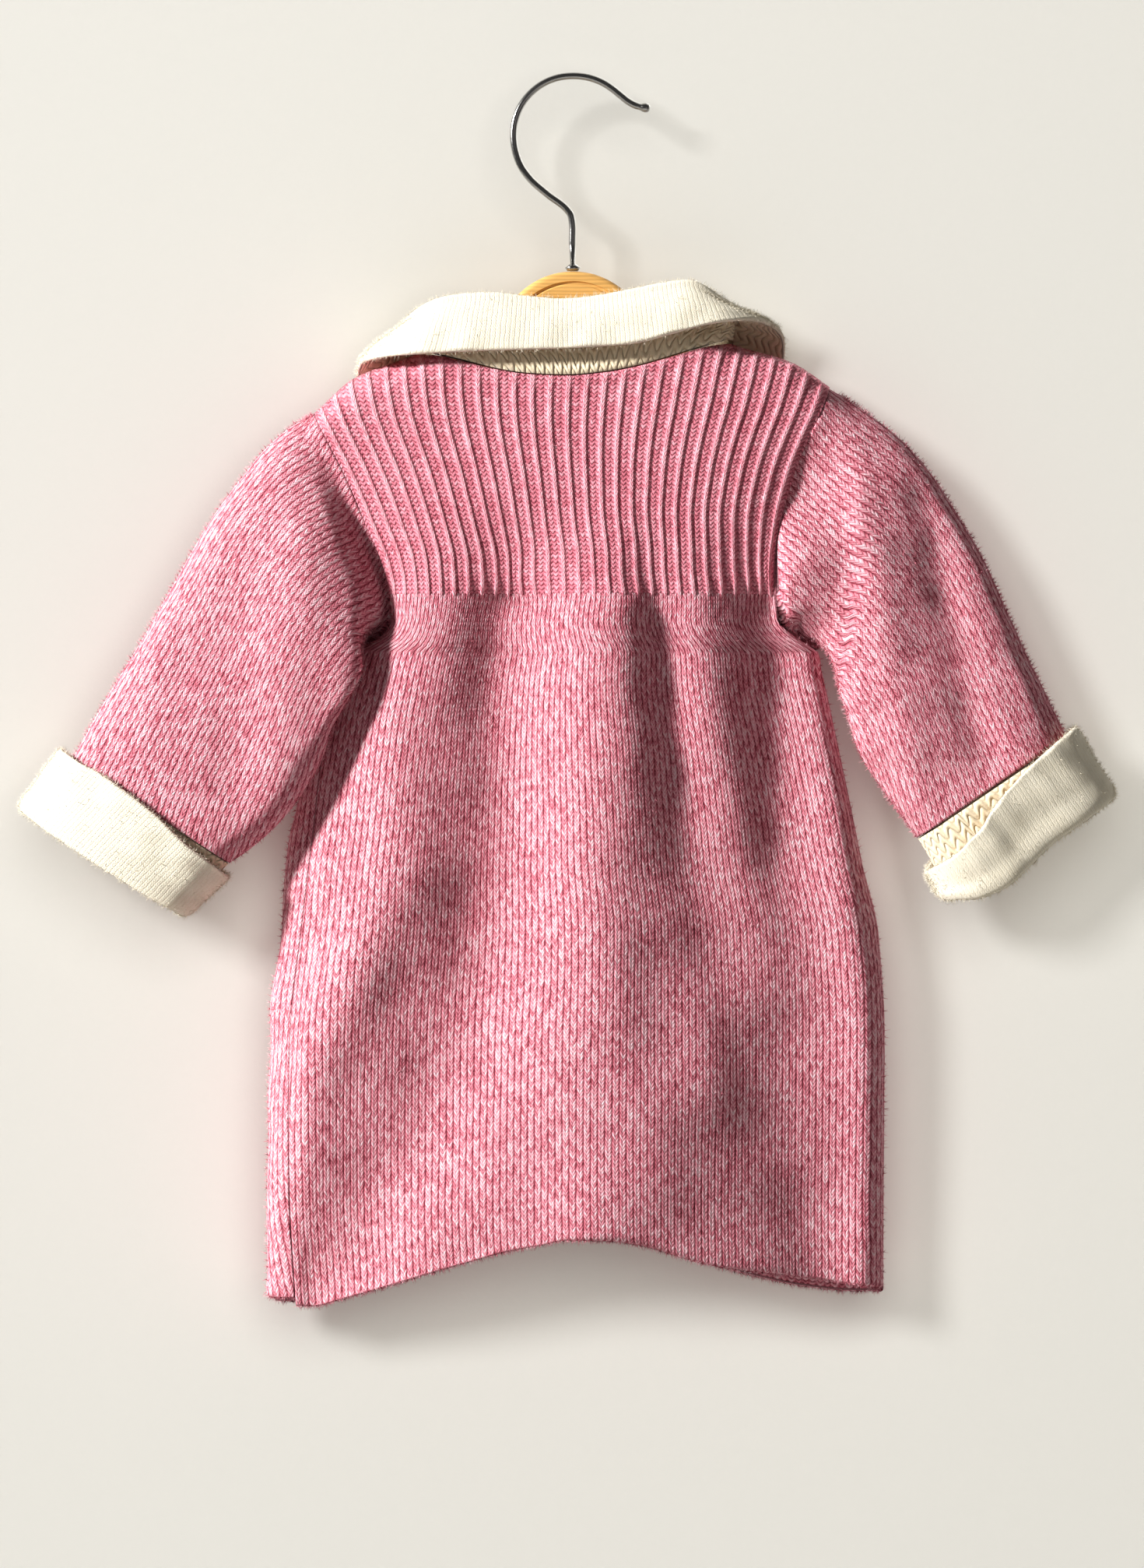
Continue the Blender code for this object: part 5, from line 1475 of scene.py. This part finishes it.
def collar_piece(name, settings, material):
    """The collar on the solid's profile, made fine. Its wales run up the stand and down the fall."""
    fine = resample_across(resample(collar_grid(), COLLAR_ROWS), COLLAR_ROUND)
    normal = -grid_normal(fine, False)
    middle = fine[COLLAR_ROWS // 2]
    length, down = distances(middle), distances(fine)
    uv = np.stack(np.broadcast_arrays(length / settings.cream_wale, down[:, None] / settings.cream_row), -1)
    fall = ease(np.arange(COLLAR_ROWS) / COLLAR_ROWS * 2.2 - 1.1)[:, None]
    lift = waves(fine[..., 0], fine[..., 2] + fine[..., 1], seed=41, size=22.0) * 0.45 * fall
    return cloth_wall(name, fine, normal, uv, CREAM, lift, (INNER_STEP, INNER_STEP), False, material, (-1,),
                      COLLAR_FIBRES)


def swept(name, line, radius, sides, material):
    """A round bar along a smooth line in the XZ plane: rings square to the line, with a flat cap at each end.
    """
    run = unit(np.gradient(line, axis=0))
    side = np.cross(run, AWAY)
    angle = np.linspace(0, 2 * math.pi, sides, endpoint=False)
    ringed = side[:, None] * np.cos(angle)[None, :, None]
    ringed = ringed + AWAY * np.sin(angle)[None, :, None]
    points = line[:, None] + ringed * radius[:, None, None]
    uv = np.stack(np.broadcast_arrays(np.linspace(0, 1, sides + 1), distances(line)[:, None]), -1)
    return make_piece(name, points.reshape(-1, 3), bar_patches(points, uv), material)


def hook_piece(name, material):
    """The hook's wire with its ball tip and ferrule: the solid's line, read again at even places along
    the wire."""
    line = np.stack([HOOK["x"], 0 * HOOK["x"], HOOK["z"]], -1)
    rows = np.concatenate([line, HOOK["radius"][:, None]], -1)
    ferrule, tip = 3, 26
    wire = resample(rows[ferrule:tip], WIRE_RINGS)
    foot = resample(rows[:ferrule], 3)
    shoulder = rows[ferrule - 1 : ferrule] * [1, 1, 1, 0.65]
    bar = np.concatenate([foot, shoulder, wire, rows[tip:]])
    return swept(name, bar[:, :3], bar[:, 3], WIRE_SIDES, material)


def board_outline(points):
    """The hanger's outline: arms above, the round head, and the arms' lower edge back."""
    x = np.linspace(ARMS["x"][0], ARMS["x"][-1], points)
    top, bottom = look(ARMS, "x", "top", x), look(ARMS, "x", "bottom", x)
    upper = np.stack([x, top], -1)[np.abs(x - HEAD_X) >= HEAD_RADIUS - HEAD_SUNK]
    angle = np.linspace(math.pi - HEAD_ENDS, HEAD_ENDS, points)
    disc = np.stack([HEAD_X + HEAD_RADIUS * np.cos(angle), HEAD_Z + HEAD_RADIUS * np.sin(angle)], -1)
    lower = np.stack([x, bottom], -1)[::-1]
    return np.concatenate([upper[upper[:, 0] < 0], disc, upper[upper[:, 0] > 0], lower])


def hanger_piece(name, material):
    """The board, its edges rounded by drawing the outline in along its own normals as it nears each
    face, with a turned groove cut round the head on both faces."""
    outline = board_outline(BOARD_POINTS)
    run = np.roll(outline, -1, 0) - np.roll(outline, 1, 0)
    normal = unit(np.stack([run[:, 1], -run[:, 0]], -1))
    after = np.roll(outline, -1, 0)
    area = 0.5 * np.sum(outline[:, 0] * after[:, 1] - outline[:, 1] * after[:, 0])
    normal = normal if area > 0 else -normal
    loops = []
    for sign in (-1, 1):
        for k in range(ROUND_STEPS + 1):
            a = math.pi / 2 * (k if sign > 0 else ROUND_STEPS - k) / ROUND_STEPS
            flat = outline - normal * WOOD_ROUND * (1 - math.cos(a))
            y = sign * (WOOD_THICK / 2 - WOOD_ROUND + WOOD_ROUND * math.sin(a))
            loops.append(np.stack([flat[:, 0], np.full(len(flat), y), flat[:, 1]], -1))
    loops = np.array(loops)
    uv = np.zeros((loops.shape[0], loops.shape[1] + 1, 2))
    board = make_piece(name, loops.reshape(-1, 3), bar_patches(loops, uv), material)
    for face in (-1, 1):
        turn = np.linspace(0, 2 * math.pi, GROOVE_ROUND, endpoint=False)[:, None]
        tube = np.linspace(0, 2 * math.pi, GROOVE_SIDES, endpoint=False)[None, :]
        far = GROOVE_RADIUS + GROOVE * np.cos(tube)
        px, pz = HEAD_X + far * np.cos(turn), HEAD_Z + far * np.sin(turn)
        py = np.broadcast_to(face * WOOD_THICK / 2 + GROOVE * np.sin(tube), px.shape)
        at = numbered(px)
        closed = np.vstack([at, at[:1]])
        flat_uv = np.zeros((closed.shape[0], closed.shape[1] + 1, 2))
        cutter = make_piece("groove", np.stack([px, py, pz], -1).reshape(-1, 3),
                           [(quads(closed, True), quad_uvs(flat_uv))], material)
        cut = board.modifiers.new("groove", "BOOLEAN")
        cut.operation, cut.solver, cut.object = "DIFFERENCE", "EXACT", cutter
        graph = bpy.context.evaluated_depsgraph_get()
        board.data = bpy.data.meshes.new_from_object(board.evaluated_get(graph))
        board.modifiers.clear()
        bpy.data.objects.remove(cutter)
    board.data.set_sharp_from_angle(angle=math.radians(SHARP))
    return board


# ---- settings


class KnitSettings(bpy.types.PropertyGroup):
    """Sizes and colours of the knitted cloth."""
    ribs: IntProperty(name="Ribs", description="Raised ribs across the yoke", default=29, min=5)
    wale: FloatProperty(name="Wale", description="Width of a pink stitch in millimetres", default=2.6)
    row: FloatProperty(name="Row", description="Height of a pink stitch in millimetres", default=1.9)
    cream_wale: FloatProperty(name="Cream wale", description="Width of a cream stitch in millimetres",
                              default=2.0)
    cream_row: FloatProperty(name="Cream row", description="Height of a cream stitch in millimetres",
                             default=1.6)
    stitch_depth: FloatProperty(name="Stitch depth", description="Relief of a stitch in millimetres",
                                default=0.55)
    # Darkest fibres, and also the painted shade in the stitch gaps and between the wales.
    yarn_dark_and_gap_shade: FloatVectorProperty(name="Darkest fibre", description="Pink yarn's gaps", subtype="COLOR",
                                   default=(0.14, 0.016, 0.03))
    yarn_deep: FloatVectorProperty(name="Crimson fibre", description="Pink yarn's dark strand",
                                   subtype="COLOR", default=(0.40, 0.08, 0.115))
    yarn_rose: FloatVectorProperty(name="Rose fibre", description="Pink yarn's middle", subtype="COLOR",
                                   default=(0.72, 0.24, 0.305))
    yarn_light: FloatVectorProperty(name="Light fibre", description="Pink yarn's light strand",
                                    subtype="COLOR", default=(0.87, 0.455, 0.52))
    yarn_pale: FloatVectorProperty(name="Pale fibre", description="Pink yarn's palest flecks",
                                   subtype="COLOR", default=(0.92, 0.67, 0.72))
    # Painted shade in the cream stitches' hollows.
    cream_gap_shade: FloatVectorProperty(name="Cream shade", description="Cream yarn's gaps", subtype="COLOR",
                                    default=(0.56, 0.42, 0.26))
    cream_mid: FloatVectorProperty(name="Cream", description="Cream yarn", subtype="COLOR",
                                   default=(0.83, 0.75, 0.585))
    cream_pale: FloatVectorProperty(name="Cream crown", description="Cream yarn's palest fibres",
                                    subtype="COLOR", default=(0.93, 0.885, 0.765))
    # Painted shade: a warm tint on the inner face, which shows only in shade.
    cream_painted_shade_tint: FloatVectorProperty(name="Cream warmth", description="Tint of the unbrushed side",
                                      subtype="COLOR", default=(1.0, 0.9, 0.76))


class HangerSettings(bpy.types.PropertyGroup):
    """Colours of the hanger."""
    wood: FloatVectorProperty(name="Wood", description="Varnished pine", subtype="COLOR",
                              default=(0.72, 0.42, 0.14))
    plating: FloatVectorProperty(name="Plating", description="Hook's metal", subtype="COLOR",
                                 default=(0.46, 0.455, 0.445))


class StageSettings(bpy.types.PropertyGroup):
    """Wall, floor, light and camera."""
    wall_y: FloatProperty(name="Wall", description="Distance of the wall behind the hook in metres",
                          default=0.033, subtype="DISTANCE", unit="LENGTH")
    floor_z: FloatProperty(name="Floor", description="Height of the floor in metres", default=-1.5,
                           subtype="DISTANCE", unit="LENGTH")
    key: FloatProperty(name="Key light", description="Power in watts", default=174.0, subtype="POWER")
    wash: FloatProperty(name="Wall light", description="Power in watts", default=35.0, subtype="POWER")
    fill: FloatProperty(name="Fill light", description="Power in watts", default=1.5, subtype="POWER")
    behind: FloatProperty(name="Light from behind", description="Power in watts", default=10.0,
                          subtype="POWER")
    sky: FloatProperty(name="Sky", description="Strength of the even light", default=0.08)
    camera_far: FloatProperty(name="Camera distance", description="From the hook's plane in metres",
                              default=2.2, subtype="DISTANCE", unit="LENGTH")


# ---- operators


def knit_settings():
    return bpy.context.scene.dress_knit


def material_named(name, make):
    """A material made on first use."""
    return bpy.data.materials.get(name) or make()


def pink():
    settings = knit_settings()
    return material_named("pink_wool", lambda: pink_knit("pink_wool", settings, yoke_row(settings)))


def sleeve_pink():
    settings = knit_settings()
    return material_named("sleeve_wool", lambda: pink_knit("sleeve_wool", settings, NO_YOKE))


def cream():
    return material_named("cream_wool", lambda: cream_knit("cream_wool", knit_settings()))


def place_piece(obj, node):
    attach(obj, "root")
    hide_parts(node)


class DRESS_OT_panels(bpy.types.Operator):
    """Make the back and the front"""
    bl_idname = "dress.panels"
    bl_label = "Back and front"

    def execute(self, context):
        settings = knit_settings()
        panels = (("back_panel", "back", -1, BACK_DETAIL), ("front_panel", "front", 1, FRONT_DETAIL))
        for name, node, side, a_wale in panels:
            obj = body_panel(name, side, a_wale, settings, pink())
            place_piece(obj, node)
        return {"FINISHED"}


class DRESS_OT_sleeves(bpy.types.Operator):
    """Make the two set-in sleeves"""
    bl_idname = "dress.sleeves"
    bl_label = "Sleeves"

    def execute(self, context):
        for name, node, rows, crease, col, sign, along in SLEEVES:
            obj = sleeve_piece(name, rows, crease, col, sign, along, knit_settings(), sleeve_pink())
            place_piece(obj, node)
        return {"FINISHED"}


class DRESS_OT_cuffs(bpy.types.Operator):
    """Make the two turned-back cuffs"""
    bl_idname = "dress.cuffs"
    bl_label = "Cuffs"

    def execute(self, context):
        for (name, _, *form), (cuff_name, cuff_node, cuff_rows) in zip(SLEEVES, CUFFS):
            obj = cuff_piece(cuff_name, *form, cuff_rows, knit_settings(), cream())
            place_piece(obj, cuff_node)
        return {"FINISHED"}


class DRESS_OT_collar(bpy.types.Operator):
    """Make the collar"""
    bl_idname = "dress.collar"
    bl_label = "Collar"

    def execute(self, context):
        obj = collar_piece("collar_piece", knit_settings(), cream())
        place_piece(obj, "collar")
        return {"FINISHED"}


class DRESS_OT_hanger(bpy.types.Operator):
    """Make the wooden hanger and its hook"""
    bl_idname = "dress.hanger"
    bl_label = "Hanger and hook"

    def execute(self, context):
        settings = context.scene.dress_hanger
        wood = hanger_wood("hanger_wood", settings.wood)
        place_piece(hanger_piece("hanger_board", wood), "hanger")
        chrome = hook_chrome("hook_chrome", settings.plating)
        place_piece(hook_piece("hook_wire", chrome), "hook")
        return {"FINISHED"}


def plane(name, corners, material):
    """A flat rectangle from four corners in metres."""
    points = np.array(corners) / MM
    return make_piece(name, points, [(np.array([[0, 1, 2, 3]]), np.zeros((1, 4, 2)))], material, False)


def paint(name, colour, one_sided):
    """Matt paint with a faint roller texture. A one-sided wall is clear from behind, so that the
    object is seen from there too."""
    material, tree, shader = new_material(name)
    mottle = noise(tree, object_place(tree), scale=400.0, detail=3.0, rough=0.6)
    dim = tuple(c * 0.985 for c in colour)
    feed(tree, blend(tree, mottle, (*dim, 1.0), (*colour, 1.0)), shader.inputs["Base Color"])
    shader.inputs["Roughness"].default_value = 0.9
    shader.inputs["Specular IOR Level"].default_value = 0.2
    bump(tree, mottle, 0.2 * MM, shader, strength=0.3)
    if one_sided:
        clear = tree.nodes.new("ShaderNodeBsdfTransparent")
        mix = tree.nodes.new("ShaderNodeMixShader")
        back = tree.nodes.new("ShaderNodeNewGeometry").outputs["Backfacing"]
        tree.links.new(back, mix.inputs[0])
        tree.links.new(shader.outputs[0], mix.inputs[1])
        tree.links.new(clear.outputs[0], mix.inputs[2])
        tree.links.new(mix.outputs[0], tree.nodes["Material Output"].inputs["Surface"])
    return material


def area_light(name, place, aim, size, power, colour, lit=(), unlit=(), through=False):
    """A round soft light. lit are the only objects that it reaches, or unlit those that it leaves.
    With through, the unlit ones don't shade the others from it."""
    data = bpy.data.lights.new(name, "AREA")
    data.shape, data.size, data.energy, data.color = "DISK", size, power, colour
    obj = bpy.data.objects.new(name, data)
    obj.location = place
    obj.rotation_euler = (Vector(aim) - Vector(place)).to_track_quat("-Z", "Y").to_euler()
    bpy.context.scene.collection.objects.link(obj)
    if lit or unlit:
        group = bpy.data.collections.new(name + "_reaches")
        for item in (*lit, *unlit):
            group.objects.link(item)
        for entry in group.collection_objects:
            entry.light_linking.link_state = "INCLUDE" if lit else "EXCLUDE"
        obj.light_linking.receiver_collection = group
        if through:
            obj.light_linking.blocker_collection = group


def around(turn, rise, far):
    """A place by its turn to the right of the camera's line and its rise, in degrees."""
    a, b = math.radians(turn), math.radians(rise)
    x, y = math.sin(a) * math.cos(b), -math.cos(a) * math.cos(b)
    return (x * far, y * far, PHOTO_MIDDLE_Z * MM + math.sin(b) * far)


class DRESS_OT_stage(bpy.types.Operator):
    """Set the wall, the floor, the lights and the camera"""
    bl_idname = "dress.stage"
    bl_label = "Stage"

    def execute(self, context):
        stage = context.scene.dress_stage
        wide, high, deep = 3.0, 1.5, 3.5
        low, back = stage.floor_z, stage.wall_y
        wall = plane("wall", [(-wide, back, low), (wide, back, low),
                              (wide, back, high), (-wide, back, high)],
                     paint("wall_paint", (0.84, 0.835, 0.80), one_sided=True))
        floor = plane("floor", [(-wide, -deep, low), (wide, -deep, low),
                                (wide, deep, low), (-wide, deep, low)],
                      paint("floor_paint", (0.78, 0.77, 0.75), one_sided=False))
        middle = (0.0, 0.0, PHOTO_MIDDLE_Z * MM)
        near = (wall, floor)
        area_light("key", around(turn=-64, rise=24, far=3.0), middle, size=0.4, power=stage.key,
                   colour=(1.0, 0.985, 0.965), unlit=near)
        area_light("fill", around(turn=25, rise=0, far=2.4), middle, size=1.6, power=stage.fill,
                   colour=(1.0, 0.9, 0.9), unlit=near)
        area_light("behind", around(turn=160, rise=25, far=2.3), middle, size=1.2, power=stage.behind,
                   colour=(1.0, 0.99, 0.97), unlit=near, through=True)
        area_light("wall_key", around(turn=-36, rise=20, far=3.2), middle, size=0.8, power=stage.wash,
                   colour=(1.0, 0.99, 0.98), lit=near)
        area_light("wall_fill", around(turn=4, rise=12, far=3.0), middle, size=2.6, power=stage.wash * 1.2,
                   colour=(1.0, 0.97, 0.915), lit=near)
        world = bpy.data.worlds.new("sky")
        world.use_nodes = True
        background = world.node_tree.nodes["Background"]
        background.inputs["Color"].default_value = (1.0, 0.985, 0.965, 1.0)
        background.inputs["Strength"].default_value = stage.sky
        context.scene.world = world
        context.scene.view_settings.view_transform = "Standard"
        context.scene.view_settings.look = "Medium High Contrast"
        lens = bpy.data.cameras.new("camera")
        lens.sensor_width = 36.0
        seen_high = PHOTO_HIGH * MM_A_PIXEL * MM
        lens.lens = lens.sensor_width * (stage.camera_far - NEAR_CLOTH * MM) / seen_high
        lens.clip_start = 0.05
        camera = bpy.data.objects.new("camera", lens)
        camera.location = (0.0, -stage.camera_far, PHOTO_MIDDLE_Z * MM)
        camera.rotation_euler = (math.pi / 2, 0.0, 0.0)
        context.scene.collection.objects.link(camera)
        context.scene.camera = camera
        return {"FINISHED"}


OPERATORS = (
    DRESS_OT_panels,
    DRESS_OT_sleeves,
    DRESS_OT_cuffs,
    DRESS_OT_collar,
    DRESS_OT_hanger,
    DRESS_OT_stage,
)


class DRESS_PT_looks(bpy.types.Panel):
    """Lists the dress's steps and their settings"""
    bl_idname = "DRESS_PT_looks"
    bl_label = "Sweater dress"
    bl_space_type = "VIEW_3D"
    bl_region_type = "UI"
    bl_category = "Dress"

    def draw(self, context):
        for kind in OPERATORS:
            self.layout.operator(kind.bl_idname)
        for group in (context.scene.dress_knit, context.scene.dress_hanger, context.scene.dress_stage):
            for name in group.__annotations__:
                self.layout.prop(group, name)


GROUPS = {"dress_knit": KnitSettings, "dress_hanger": HangerSettings, "dress_stage": StageSettings}
CLASSES = (*GROUPS.values(), *OPERATORS, DRESS_PT_looks)


def register():
    for kind in CLASSES:
        bpy.utils.register_class(kind)
    for name, kind in GROUPS.items():
        setattr(bpy.types.Scene, name, PointerProperty(type=kind))


def unregister():
    for name in GROUPS:
        delattr(bpy.types.Scene, name)
    for kind in reversed(CLASSES):
        bpy.utils.unregister_class(kind)


def main():
    register()
    stocking_group()
    purl_group()
    for kind in OPERATORS:
        area, step = kind.bl_idname.split(".")
        getattr(getattr(bpy.ops, area), step)()


if __name__ == "__main__":
    main()
